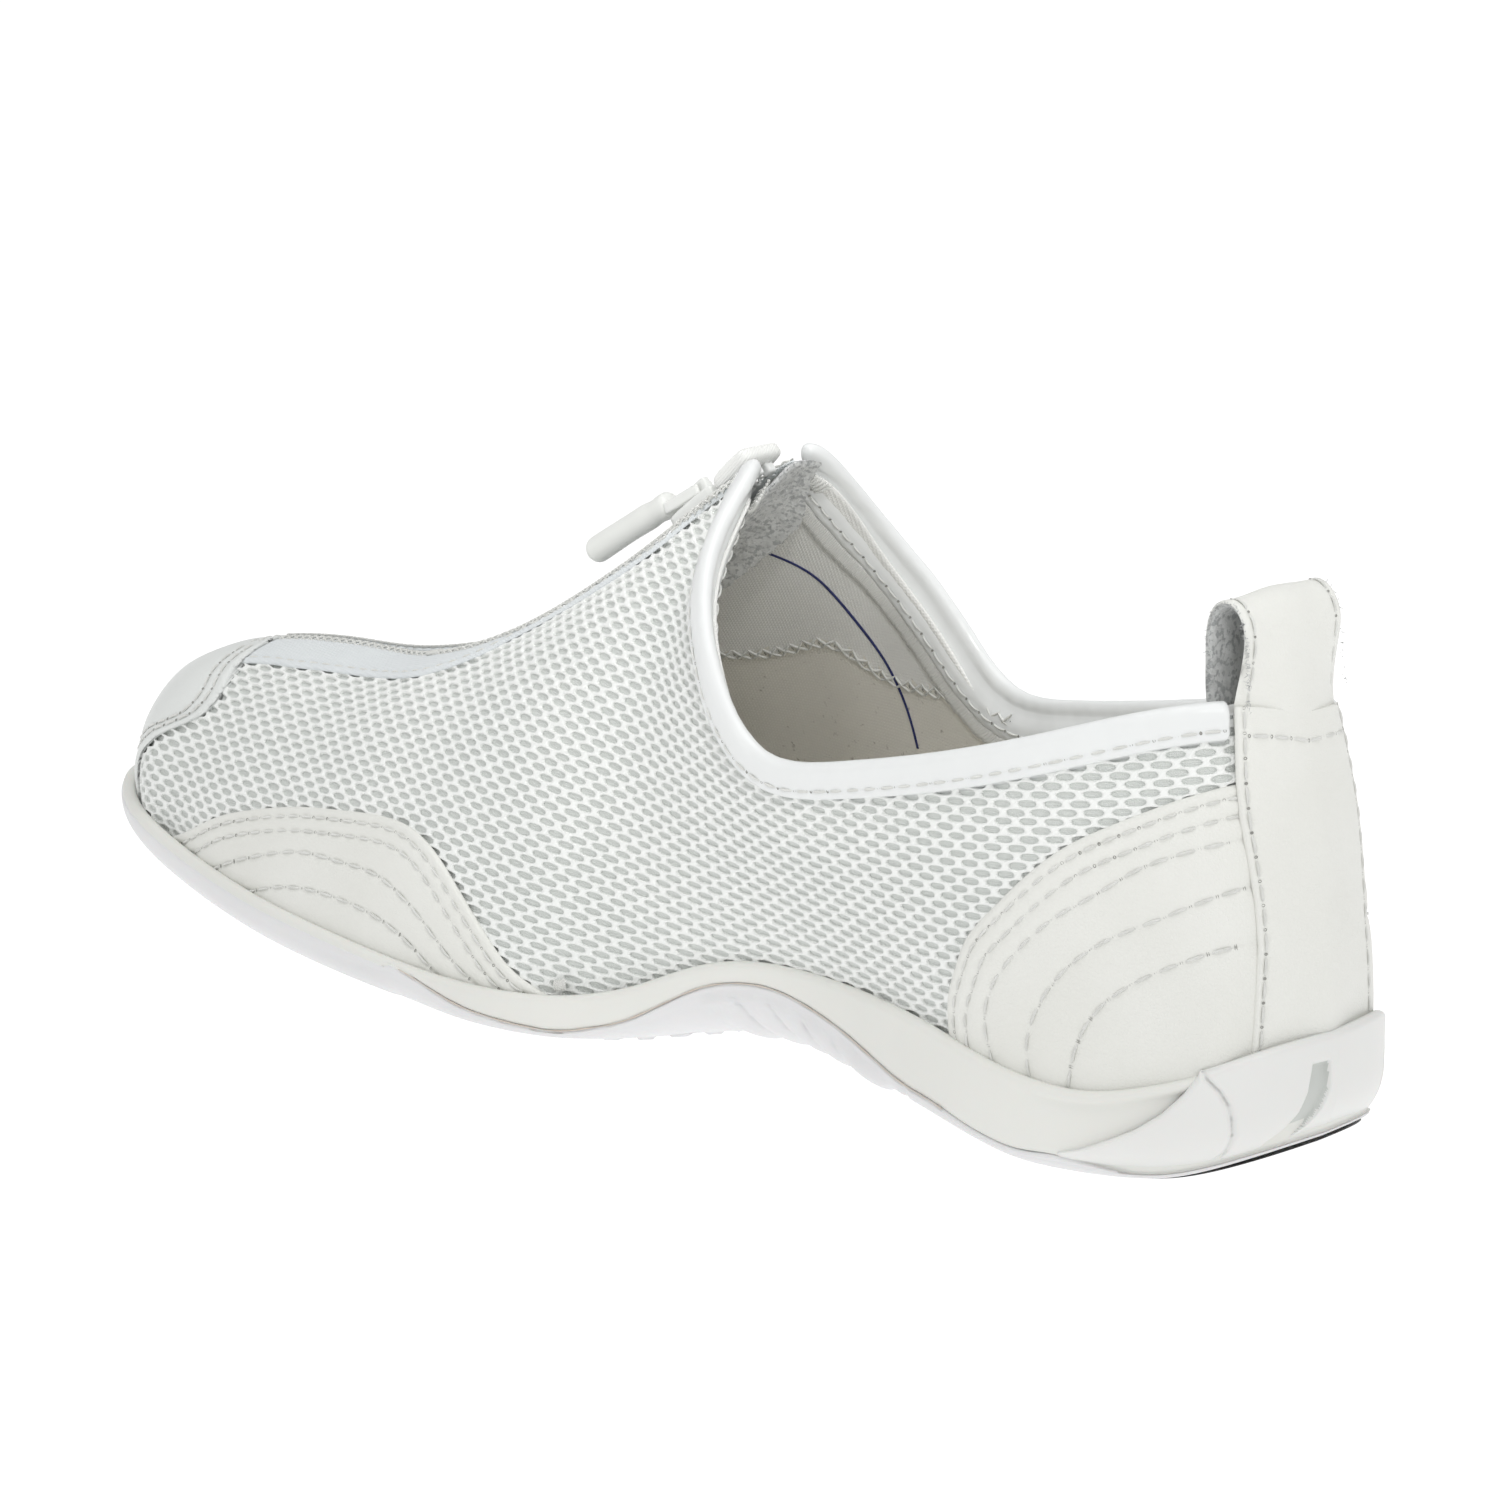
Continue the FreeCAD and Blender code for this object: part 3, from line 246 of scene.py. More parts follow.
def collar_margin(u): return lin([(0.0,0.115),(0.06,0.11),(0.30,0.125),(0.38,0.10),(0.44,0.07),(0.49,0.05),(0.52,0.02),(0.56,0.0)])(u)
def ylim(u): return np.where(u <= 0.5, -99.0, np.where(u < 0.72, 5.0, np.where(u < 0.80, 5.0-4.7*(u-0.72)/0.08, 0.3)))
def vstop(side, u, off):
    u = np.asarray(u, float); lo = np.full(u.shape, 0.5); hi = np.ones(u.shape); y = ylim(u)
    full = (PT(side, u, np.ones(u.shape), off)[..., 1]*side >= y)
    for _ in range(20):
        m = 0.5*(lo+hi); ok = PT(side, u, m, off)[..., 1]*side >= y
        lo = np.where(ok, m, lo); hi = np.where(ok, hi, m)
    return np.where(full, 1.0, lo)
def vtop_tab(side, off, extra=None):
    u = np.arange(91)/90.0
    v = np.minimum(vstop(side, u, off), 1.0-(collar_margin(u) if extra is None else extra(u)))
    k = np.convolve(np.pad(v, 2, mode="edge"), np.ones(5)/5, "valid")
    return lambda q: np.interp(q, u, k-0.004)

# ------------------------------------------------------------------ meshes
def gfaces(n, m, ci=False, cj=False, base=0):
    i, j = np.meshgrid(np.arange(n if ci else n-1), np.arange(m if cj else m-1), indexing="ij")
    i2, j2 = (i+1) % n, (j+1) % m
    return (np.stack([i*m+j, i2*m+j, i2*m+j2, i*m+j2], -1).reshape(-1, 4)+base)
PIECES = []
def mesh(name, v, faces, mats, body="shoe", slot=None, rep=(), uv=None, fm=None, recalc=True, weld=None, smooth=True):
    """faces: list of integer arrays (quads or triangles)"""
    me = bpy.data.meshes.new(name)
    fl = []
    for f in (faces if isinstance(faces, (list, tuple)) else [faces]): fl += np.asarray(f).tolist()
    me.from_pydata(R3(v).tolist(), [], fl)
    mats = mats if isinstance(mats, (list, tuple)) else [mats]
    for m in mats: me.materials.append(m)
    if fm is not None: me.polygons.foreach_set("material_index", np.asarray(fm, np.int32))
    if uv is not None:
        L = me.uv_layers.new(name="UVMap"); vi = np.zeros(len(me.loops), np.int32)
        me.loops.foreach_get("vertex_index", vi); L.data.foreach_set("uv", np.asarray(uv, np.float32)[vi].ravel())
    if recalc or weld:
        bm = bmesh.new(); bm.from_mesh(me)
        if weld: bmesh.ops.remove_doubles(bm, verts=bm.verts, dist=weld/1000.0)
        bad = [f for f in bm.faces if f.calc_area() < 1e-14]
        if bad: bmesh.ops.delete(bm, geom=bad, context="FACES_ONLY")
        loose = [q for q in bm.verts if not q.link_faces]
        if loose: bmesh.ops.delete(bm, geom=loose, context="VERTS")
        if recalc: bmesh.ops.recalc_face_normals(bm, faces=bm.faces)
        bm.to_mesh(me); bm.free()
    me.polygons.foreach_set("use_smooth", [smooth]*len(me.polygons))
    me.update()
    o = bpy.data.objects.new(name, me); bpy.context.scene.collection.objects.link(o)
    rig.ride(o, body)
    if slot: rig.slot(o, slot)
    if rep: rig.replaces(o, *rep)
    PIECES.append(o)
    return o
def autosmooth(o, deg=35):
    """sharp edges above an angle, kept in the mesh"""
    me = o.data; bm = bmesh.new(); bm.from_mesh(me)
    for e in bm.edges:
        e.smooth = not (len(e.link_faces) == 2 and e.calc_face_angle(0) > math.radians(deg))
    bm.to_mesh(me); bm.free()
def shell(outer, inner, ci=False, cj=False):
    """vertices and faces of a closed body between two point grids (n, m, 3)"""
    n, m = outer.shape[:2]; N = n*m
    v = np.concatenate([outer.reshape(-1, 3), inner.reshape(-1, 3)])
    F = [gfaces(n, m, ci, cj), gfaces(n, m, ci, cj, N)[:, ::-1]]
    def wall(idx, loop):
        a = np.asarray(idx); b = np.roll(a, -1) if loop else a[1:]; a = a if loop else a[:-1]
        return np.stack([a, a+N, b+N, b], -1)
    if not ci: F += [wall(np.arange(m), cj), wall((n-1)*m+np.arange(m)[::-1], cj)]
    if not cj: F += [wall((np.arange(n)*m)[::-1], ci), wall(np.arange(n)*m+m-1, ci)]
    return v, F
def seg_dist(P, L, chunk=4000):
    """distance from points (k,3) to a polyline (n,3), and the place along it"""
    A, B = L[:-1], L[1:]; D = B-A; dd = (D*D).sum(1)+1e-12; s0 = np.r_[0, np.cumsum(np.sqrt(dd))]
    out = np.empty(len(P)); al = np.empty(len(P))
    for c in range(0, len(P), chunk):
        q = P[c:c+chunk]; w = q[:, None]-A[None]
        t = np.clip((w*D).sum(2)/dd, 0, 1); d = np.linalg.norm(w-t[..., None]*D, axis=2)
        k = d.argmin(1); r = np.arange(len(q)); out[c:c+chunk] = d[r, k]; al[c:c+chunk] = s0[k]+t[r, k]*np.sqrt(dd[k])
    return out, al
def resample(L, step=None, n=None, smooth=True):
    L = np.asarray(L, float); s = np.r_[0, np.cumsum(np.linalg.norm(np.diff(L, axis=0), axis=1))]
    keep = np.r_[True, np.diff(s) > 1e-9]; L, s = L[keep], s[keep]
    n = n or max(2, int(round(s[-1]/step))+1); q = np.linspace(0, s[-1], n)
    if smooth and len(L) > 2: return Spl(s, L)(q)
    return np.stack([np.interp(q, s, L[:, k]) for k in range(L.shape[1])], 1)
def uvline(pts, step=0.006):
    """a smooth line through traced (u, v) points; u counts about four times as long as v"""
    p = np.array(pts, float); q = p*np.array([4.0, 1.0]); r = resample(q, step=step*4)/np.array([4.0, 1.0])
    r[:, 1] = np.clip(r[:, 1], 0, 1); return r
def on_skin(side, line, off=0.0):
    return PT(side, line[:, 0], line[:, 1], off)
def cut_len(P, N, a=0.0, b=0.0):
    s = np.r_[0, np.cumsum(np.linalg.norm(np.diff(P, axis=0), axis=1))]; m = (s >= a) & (s <= s[-1]-b)
    return P[m], N[m]

STITCH = {}
def stitch(group, P, N, pitch=3.8, gap=0.75, r=0.26, lift=0.0, hole=0.42, tick=0.55, slant=0.0, phase=0.0, sag=0.35):
    """thread stitches and needle holes along a 3-D line P with surface normals N"""
    s = np.r_[0, np.cumsum(np.linalg.norm(np.diff(P, axis=0), axis=1))]
    if s[-1] < pitch: return
    n = max(1, int(round(s[-1]/pitch))); pt = s[-1]/n
    G = STITCH.setdefault(group, {"v": [], "f": [], "m": [], "n": 0})
    def at(q):
        q = np.clip(q, 0, s[-1]); return (np.stack([np.interp(q, s, P[:, k]) for k in range(3)], -1),
                                          nz(np.stack([np.interp(q, s, N[:, k]) for k in range(3)], -1)))
    tt = np.array([0.0, 0.12, 0.35, 0.65, 0.88, 1.0]); hh = np.array([-sag, 0.02, 0.16, 0.16, 0.02, -sag]); rr = np.array([0.55, 0.9, 1, 1, 0.9, 0.55])*r
    a8 = np.arange(6)*math.pi/3
    i = np.arange(n)
    q = i[:, None]*pt+gap/2+tt[None]*(pt-gap)
    C, Nn = at(q); T = nz(np.gradient(C, axis=1)); Bn = np.cross(Nn, T)
    C = C+Nn*(lift+hh)[None, :, None]+Bn*((tt-0.5)*slant)[None, :, None]
    ring = C[:, :, None]+rr[None, :, None, None]*(np.cos(a8)[None, None, :, None]*Bn[:, :, None]+np.sin(a8)[None, None, :, None]*Nn[:, :, None]*0.85)
    k = len(tt); per = k*6; base = G["n"]
    f = gfaces(k, 6, cj=True)
    F = (f[None]+(np.arange(n)*per)[:, None, None]+base).reshape(-1, 4)
    caps = np.array([[5, 4, 3, 2], [5, 2, 1, 0], [(k-1)*6, (k-1)*6+1, (k-1)*6+2, (k-1)*6+3], [(k-1)*6, (k-1)*6+3, (k-1)*6+4, (k-1)*6+5]])
    F2 = (caps[None]+(np.arange(n)*per)[:, None, None]+base).reshape(-1, 4)
    G["v"].append(ring.reshape(-1, 3)); G["f"] += [F, F2]; G["m"] += [np.zeros(len(F)+len(F2), int)]; G["n"] += n*per
    # each needle hole is a shallow dimple in the dark hole material: painted shade inside the hole
    if hole > 0:
        j = np.arange(n+1); C, Nn = at(j*pt); C2, _ = at(j*pt+0.2); C1, _ = at(j*pt-0.2); T = nz(C2-C1); Bn = np.cross(Nn, T)
        a = np.arange(8)*math.pi/4
        rim = C[:, None]+Nn[:, None]*(lift+0.035)+np.cos(a)[None, :, None]*T[:, None]*hole*0.5+np.sin(a)[None, :, None]*Bn[:, None]*tick
        cen = (C+Nn*(lift-0.12))[:, None]
        V = np.concatenate([cen, rim], 1); base = G["n"]
        tri = np.array([[0, 1+q, 1+(q+1) % 8] for q in range(8)])
        F = (tri[None]+(j*9)[:, None, None]+base).reshape(-1, 3)
        G["v"].append(V.reshape(-1, 3)); G["f"].append(F); G["m"].append(np.ones(len(F), int)); G["n"] += len(j)*9
def flush_stitches(thread, dark):
    for g, G in STITCH.items():
        o = mesh("stitch_"+g, np.concatenate(G["v"]), G["f"], [thread, dark], fm=np.concatenate(G["m"]), recalc=False)
def tube(P, N, r, seg=8, flat=1.0, closed=False):
    """a tube round a line; r may vary along it"""
    P = np.asarray(P, float); T = nz(np.gradient(P, axis=0)); B = nz(np.cross(N, T)); N2 = nz(np.cross(T, B))
    a = np.arange(seg)*2*math.pi/seg; r = np.broadcast_to(np.asarray(r, float), (len(P),))
    ring = P[:, None]+r[:, None, None]*(np.cos(a)[None, :, None]*B[:, None]+flat*np.sin(a)[None, :, None]*N2[:, None])
    v = ring.reshape(-1, 3); F = [gfaces(len(P), seg, cj=True)]
    if not closed:
        v = np.concatenate([v, P[:1], P[-1:]]); k = len(v)
        F.append(np.array([[k-2, (j+1) % seg, j] for j in range(seg)])); b = (len(P)-1)*seg
        F.append(np.array([[k-1, b+j, b+(j+1) % seg] for j in range(seg)]))
    return v, F
def join(parts):
    V = []; F = []; n = 0
    for v, f in parts:
        V.append(np.asarray(v)); F += [np.asarray(q)+n for q in (f if isinstance(f, (list, tuple)) else [f])]; n += len(v)
    return np.concatenate(V), F
def relax(v, quads, w, it=10):
    """weighted smoothing of a point set along its faces' edges"""
    E = np.concatenate([np.concatenate([q[:, [i, (i+1) % q.shape[1]]] for i in range(q.shape[1])]) for q in quads])
    E = np.unique(np.sort(E, axis=1), axis=0); deg = np.bincount(E.ravel(), minlength=len(v)).astype(float)[:, None]
    for _ in range(it):
        s = np.zeros_like(v); np.add.at(s, E[:, 0], v[E[:, 1]]); np.add.at(s, E[:, 1], v[E[:, 0]])
        v = v+(s/np.maximum(deg, 1)-v)*w[:, None]
    return v
def wob(P, amp=0.1, k=0.05, seed=0):
    """slow unevenness"""
    x, y, z = P[..., 0]*k, P[..., 1]*k, P[..., 2]*k
    return amp*(np.sin(6.3*x+1.7*y+seed)+np.sin(4.1*z-3.3*x+2.1*seed)+np.sin(5.2*y+3.7*z+0.7*seed))/3

# ------------------------------------------------------------------ materials
def mat(name, col, rough, col2=None, cs=45.0, bumps=(), coat=0.0, coat_r=0.2, sheen=0.0, spec=0.5, rvar=0.06, uv=False, weave=None, sub=0.0, speck=None):
    m = bpy.data.materials.new(name); m.use_nodes = True; nt = m.node_tree; N = nt.nodes; L = nt.links
    b = next(n for n in N if n.type == "BSDF_PRINCIPLED")
    tc = N.new("ShaderNodeTexCoord"); vec = tc.outputs["UV" if uv else "Object"]; obj = tc.outputs["Object"]
    nz_ = N.new("ShaderNodeTexNoise"); nz_.inputs["Scale"].default_value = cs; nz_.inputs["Detail"].default_value = 5; L.new(obj, nz_.inputs["Vector"])
    ramp = N.new("ShaderNodeMapRange"); ramp.inputs["From Min"].default_value = 0.35; ramp.inputs["From Max"].default_value = 0.65
    L.new(nz_.outputs["Fac"], ramp.inputs["Value"])
    mx = N.new("ShaderNodeMix"); mx.data_type = "RGBA"; c2 = col2 or tuple(c*0.95 for c in col)
    mx.inputs["A"].default_value = (*col, 1); mx.inputs["B"].default_value = (*c2, 1); L.new(ramp.outputs["Result"], mx.inputs["Factor"])
    out = mx.outputs["Result"]
    if speck:
        sc, c3, lo, hi = speck
        n3 = N.new("ShaderNodeTexNoise"); n3.inputs["Scale"].default_value = sc; n3.inputs["Detail"].default_value = 3; L.new(obj, n3.inputs["Vector"])
        r3 = N.new("ShaderNodeMapRange"); r3.inputs["From Min"].default_value = lo; r3.inputs["From Max"].default_value = hi; L.new(n3.outputs["Fac"], r3.inputs["Value"])
        m3 = N.new("ShaderNodeMix"); m3.data_type = "RGBA"; m3.inputs["B"].default_value = (*c3, 1)
        L.new(r3.outputs["Result"], m3.inputs["Factor"]); L.new(out, m3.inputs["A"]); out = m3.outputs["Result"]
    L.new(out, b.inputs["Base Color"])
    rr = N.new("ShaderNodeMapRange"); rr.inputs["To Min"].default_value = max(0.05, rough-rvar); rr.inputs["To Max"].default_value = min(1, rough+rvar)
    n2 = N.new("ShaderNodeTexNoise"); n2.inputs["Scale"].default_value = cs*6; L.new(obj, n2.inputs["Vector"]); L.new(n2.outputs["Fac"], rr.inputs["Value"]); L.new(rr.outputs["Result"], b.inputs["Roughness"])
    b.inputs["Coat Weight"].default_value = coat; b.inputs["Coat Roughness"].default_value = coat_r
    b.inputs["Sheen Weight"].default_value = sheen; b.inputs["Specular IOR Level"].default_value = spec
    if sub: b.inputs["Subsurface Weight"].default_value = sub; b.inputs["Subsurface Scale"].default_value = 0.001
    total = None
    def add(h):
        nonlocal total
        if total is None: total = h; return
        a = N.new("ShaderNodeMath"); a.operation = "ADD"; L.new(total, a.inputs[0]); L.new(h, a.inputs[1]); total = a.outputs[0]
    def times(h, k):
        a = N.new("ShaderNodeMath"); a.operation = "MULTIPLY"; a.inputs[1].default_value = k; L.new(h, a.inputs[0]); return a.outputs[0]
    for kind, scale, amp in bumps:
        if kind == "noise":
            t = N.new("ShaderNodeTexNoise"); t.inputs["Scale"].default_value = scale; t.inputs["Detail"].default_value = 4; h = t.outputs["Fac"]; L.new(obj, t.inputs["Vector"])
        elif kind == "cell":
            t = N.new("ShaderNodeTexVoronoi"); t.feature = "DISTANCE_TO_EDGE"; t.inputs["Scale"].default_value = scale; L.new(obj, t.inputs["Vector"])
            q = N.new("ShaderNodeMath"); q.operation = "MINIMUM"; q.inputs[1].default_value = 0.18; L.new(t.outputs["Distance"], q.inputs[0]); h = times(q.outputs[0], 5.5)
        elif kind == "wave":
            t = N.new("ShaderNodeTexWave"); t.inputs["Scale"].default_value = scale; t.inputs["Distortion"].default_value = 1.5; t.bands_direction = "DIAGONAL"; h = t.outputs["Fac"]; L.new(obj, t.inputs["Vector"])
        add(times(h, amp/1000.0))
    if weave:
        fx, fy, amp = weave   # threads a millimetre along and across, relief in mm
        hs = []
        for d, f in (("X", fx), ("Y", fy)):
            t = N.new("ShaderNodeTexWave"); t.bands_direction = d; t.inputs["Scale"].default_value = f*2*math.pi/20.0; t.inputs["Distortion"].default_value = 0.6
            t.inputs["Detail"].default_value = 1.0; L.new(vec, t.inputs["Vector"]); hs.append(t.outputs["Fac"])
        a = N.new("ShaderNodeMath"); a.operation = "MAXIMUM"; L.new(hs[0], a.inputs[0]); L.new(hs[1], a.inputs[1]); add(times(a.outputs[0], amp/1000.0))
    if total is not None:
        bp = N.new("ShaderNodeBump"); bp.inputs["Strength"].default_value = 1.0; bp.inputs["Distance"].default_value = 1.0
        L.new(total, bp.inputs["Height"]); L.new(bp.outputs["Normal"], b.inputs["Normal"])
    return m
M = {}
M["leather"] = mat("leather_white", (0.80,0.803,0.765), 0.46, (0.77,0.772,0.73), bumps=[("cell", 1500, 0.03), ("noise", 420, 0.05), ("noise", 2600, 0.012)], coat=0.05, spec=0.42)
M["toe"] = mat("leather_toe", (0.79,0.81,0.79), 0.4, (0.755,0.775,0.76), bumps=[("cell", 1500, 0.028), ("noise", 420, 0.05)], coat=0.08, spec=0.45)
M["binding"] = mat("binding_gloss", (0.80,0.815,0.81), 0.3, (0.79,0.805,0.80), bumps=[("noise", 140, 0.03)], coat=0.18, coat_r=0.22, spec=0.5, rvar=0.04)
M["knit"] = mat("knit_threads", (0.90,0.91,0.89), 0.62, (0.875,0.89,0.87), cs=30, bumps=[("wave", 650, 0.05), ("noise", 3500, 0.03)], sheen=0.25)
M["back"] = mat("knit_backing", (0.79,0.815,0.79), 0.9, (0.755,0.78,0.755), cs=30, uv=True, weave=(2.6, 2.6, 0.10), bumps=[("noise", 2500, 0.04)], sheen=0.2)
M["fine"] = mat("fine_band_knit", (0.80,0.835,0.845), 0.6, (0.765,0.80,0.815), cs=60, uv=True, weave=(1.9, 1.9, 0.10), bumps=[("noise", 1400, 0.05)], sheen=0.2)
M["lining"] = mat("lining_cloth", (0.885,0.885,0.86), 0.9, (0.85,0.85,0.825), cs=28, uv=True, weave=(1.6, 1.6, 0.09), bumps=[("noise", 900, 0.05)], sheen=0.15)
M["facing"] = mat("facing_tape", (0.86,0.865,0.84), 0.85, (0.83,0.835,0.81), cs=120, bumps=[("wave", 900, 0.06), ("noise", 2600, 0.05)], sheen=0.2)
M["foot"] = mat("footbed_cloth", (0.82,0.80,0.745), 0.92, (0.75,0.73,0.67), cs=22, uv=True, weave=(1.5, 1.5, 0.09), bumps=[("noise", 1200, 0.06)], speck=(900, (0.42,0.40,0.36), 0.68, 0.80))
M["foam"] = mat("foam_cells", (0.80,0.79,0.74), 0.95, (0.75,0.735,0.68), cs=60, bumps=[("cell", 900, 0.10), ("noise", 1800, 0.05)])
M["board"] = mat("fibre_board", (0.66,0.63,0.56), 0.95, (0.58,0.55,0.49), cs=80, bumps=[("noise", 1500, 0.08)], speck=(700, (0.45,0.42,0.37), 0.6, 0.7))
M["stiff"] = mat("stiffener_sheet", (0.80,0.79,0.75), 0.8, (0.74,0.73,0.69), cs=70, bumps=[("noise", 1100, 0.05)])
M["shank"] = mat("shank_nylon", (0.34,0.35,0.36), 0.5, (0.28,0.29,0.30), cs=90, bumps=[("noise", 900, 0.03)])
M["mid"] = mat("midsole_foam_skin", (0.785,0.787,0.75), 0.48, (0.755,0.757,0.72), cs=26, bumps=[("noise", 1300, 0.022), ("noise", 240, 0.04)], spec=0.4, sub=0.05)
M["out"] = mat("outsole_rubber", (0.775,0.775,0.78), 0.5, (0.745,0.745,0.752), cs=26, bumps=[("noise", 1700, 0.045), ("noise", 300, 0.03)], spec=0.42, sub=0.05)
M["wrap"] = mat("heel_wrap_rubber", (0.785,0.787,0.77), 0.4, (0.755,0.757,0.74), cs=26, bumps=[("noise", 1500, 0.016), ("noise", 260, 0.03)], spec=0.45, sub=0.05)
# darker grey for the slot recess in the heel wrap: painted shade in the slot
M["slot"] = mat("wrap_slot_floor", (0.60,0.62,0.595), 0.62, (0.56,0.58,0.555), cs=60, bumps=[("noise", 1300, 0.03)])
M["thread"] = mat("sewing_thread", (0.80,0.805,0.775), 0.75, (0.73,0.735,0.70), cs=400, bumps=[("wave", 1500, 0.07)], sheen=0.3)
# dark grey for the needle holes: painted shade inside the holes
M["hole"] = mat("needle_hole", (0.36,0.36,0.335), 0.95, (0.27,0.27,0.25), cs=700, bumps=[("noise", 2500, 0.05)])
M["suede"] = mat("split_suede", (0.66,0.67,0.66), 0.98, (0.52,0.53,0.52), cs=500, bumps=[("noise", 900, 0.22), ("noise", 2600, 0.14)], speck=(1100, (0.36,0.37,0.37), 0.50, 0.60), sheen=0.5)
M["coil"] = mat("coil_nylon", (0.83,0.845,0.83), 0.38, (0.79,0.80,0.79), cs=300, bumps=[("noise", 1600, 0.02)], spec=0.5)
M["paint"] = mat("slider_enamel", (0.84,0.85,0.825), 0.3, (0.80,0.81,0.785), cs=120, bumps=[("noise", 700, 0.015)], coat=0.35, coat_r=0.15, speck=(500, (0.62,0.62,0.60), 0.72, 0.78))
M["grip"] = mat("pull_rubber", (0.83,0.84,0.81), 0.42, (0.80,0.81,0.78), cs=90, bumps=[("noise", 1200, 0.02)], coat=0.1)
M["navy"] = mat("lasting_line_ink", (0.025,0.03,0.12), 0.7, (0.04,0.05,0.17), cs=700, bumps=[("noise", 2500, 0.03)])
M["adh"] = mat("adhesive_line", (0.66,0.60,0.53), 0.6, (0.60,0.52,0.45), cs=300, bumps=[("noise", 900, 0.05)])

# ------------------------------------------------------------------ flat pattern of each side
def flatten(side, nu=73, nv=19):
    U, V = np.meshgrid(np.linspace(0, 1, nu), np.linspace(0, 1, nv), indexing="ij")
    P = PT(side, U, V, -1.0); mid = nv//2
    sx = np.r_[0, np.cumsum(np.linalg.norm(np.diff(P[:, mid], axis=0), axis=1))]
    sy = np.concatenate([np.zeros((nu, 1)), np.cumsum(np.linalg.norm(np.diff(P, axis=1), axis=2), axis=1)], 1); sy -= sy[:, mid:mid+1]
    x = np.stack([np.repeat(sx[:, None], nv, 1), sy], -1).reshape(-1, 2)
    q = gfaces(nu, nv); tri = np.concatenate([q[:, [0, 1, 2]], q[:, [0, 2, 3]]]); p = P.reshape(-1, 3)
    a, b, c = p[tri[:, 0]], p[tri[:, 1]], p[tri[:, 2]]
    e1 = nz(b-a); n_ = nz(np.cross(b-a, c-a)); e2 = np.cross(n_, e1)
    Q = np.zeros((len(tri), 3, 2)); Q[:, 1, 0] = ((b-a)*e1).sum(1); Q[:, 2, 0] = ((c-a)*e1).sum(1); Q[:, 2, 1] = ((c-a)*e2).sum(1)
    n = len(p); Lm = np.zeros((n, n)); cots = []
    for k in range(3):
        i, j = (k+1) % 3, (k+2) % 3; d1, d2 = Q[:, i]-Q[:, k], Q[:, j]-Q[:, k]
        ct = (d1*d2).sum(1)/np.maximum(np.abs(d1[:, 0]*d2[:, 1]-d1[:, 1]*d2[:, 0]), 1e-6); ct = np.clip(ct, 0.02, 8); cots.append(ct)
        np.add.at(Lm, (tri[:, i], tri[:, i]), ct); np.add.at(Lm, (tri[:, j], tri[:, j]), ct)
        np.add.at(Lm, (tri[:, i], tri[:, j]), -ct); np.add.at(Lm, (tri[:, j], tri[:, i]), -ct)
    Lm[0, 0] += 1.0; inv = np.linalg.inv(Lm)
    for _ in range(25):
        X = x[tri]; Sm = np.zeros((len(tri), 2, 2))
        for k in range(3):
            i, j = (k+1) % 3, (k+2) % 3; Sm += cots[k][:, None, None]*(X[:, i]-X[:, j])[:, :, None]*(Q[:, i]-Q[:, j])[:, None, :]
        th = np.arctan2(Sm[:, 1, 0]-Sm[:, 0, 1], Sm[:, 0, 0]+Sm[:, 1, 1]); cth, sth = np.cos(th), np.sin(th)
        rhs = np.zeros((n, 2))
        for k in range(3):
            i, j = (k+1) % 3, (k+2) % 3; d = (Q[:, i]-Q[:, j])
            r = np.stack([cth*d[:, 0]-sth*d[:, 1], sth*d[:, 0]+cth*d[:, 1]], -1)*cots[k][:, None]
            np.add.at(rhs, tri[:, i], r); np.add.at(rhs, tri[:, j], -r)
        rhs[0] += x[0]; x = inv@rhs
    x = x.reshape(nu, nv, 2)
    d = x[int(0.8*(nu-1)), int(0.45*(nv-1))]-x[int(0.25*(nu-1)), int(0.35*(nv-1))]; t = -math.atan2(d[1], d[0])
    x = x@np.array([[math.cos(t), -math.sin(t)], [math.sin(t), math.cos(t)]]).T
    x = x-x[nu//2, nv//2]
    if side < 0: pass
    fu = Spl(np.linspace(0, 1, nu), x.reshape(nu, -1))(np.linspace(0, 1, 4*(nu-1)+1)).reshape(-1, nv, 2)
    fv = Spl(np.linspace(0, 1, nv), fu.transpose(1, 0, 2).reshape(nv, -1))(np.linspace(0, 1, 4*(nv-1)+1)).reshape(4*(nv-1)+1, -1, 2).transpose(1, 0, 2)
    return fv
FLAT = {s: flatten(s) for s in (1, -1)}
def bil(G, u, v):
    n, m = G.shape[:2]; a, b = u*(n-1), v*(m-1); i = np.clip(np.floor(a).astype(int), 0, n-2); j = np.clip(np.floor(b).astype(int), 0, m-2)
    f, g = (a-i)[:, None], (b-j)[:, None]; A, B, C, D = G[i, j], G[i+1, j], G[i, j+1], G[i+1, j+1]
    return A*(1-f)*(1-g)+B*f*(1-g)+C*(1-f)*g+D*f*g, ((B-A)*(1-g)+(D-C)*g)*(n-1), ((C-A)*(1-f)+(D-B)*f)*(m-1)
def flat_xy(side, u, v):
    sh = np.shape(u); return bil(FLAT[side], np.ravel(u), np.ravel(v))[0].reshape(*sh, 2)
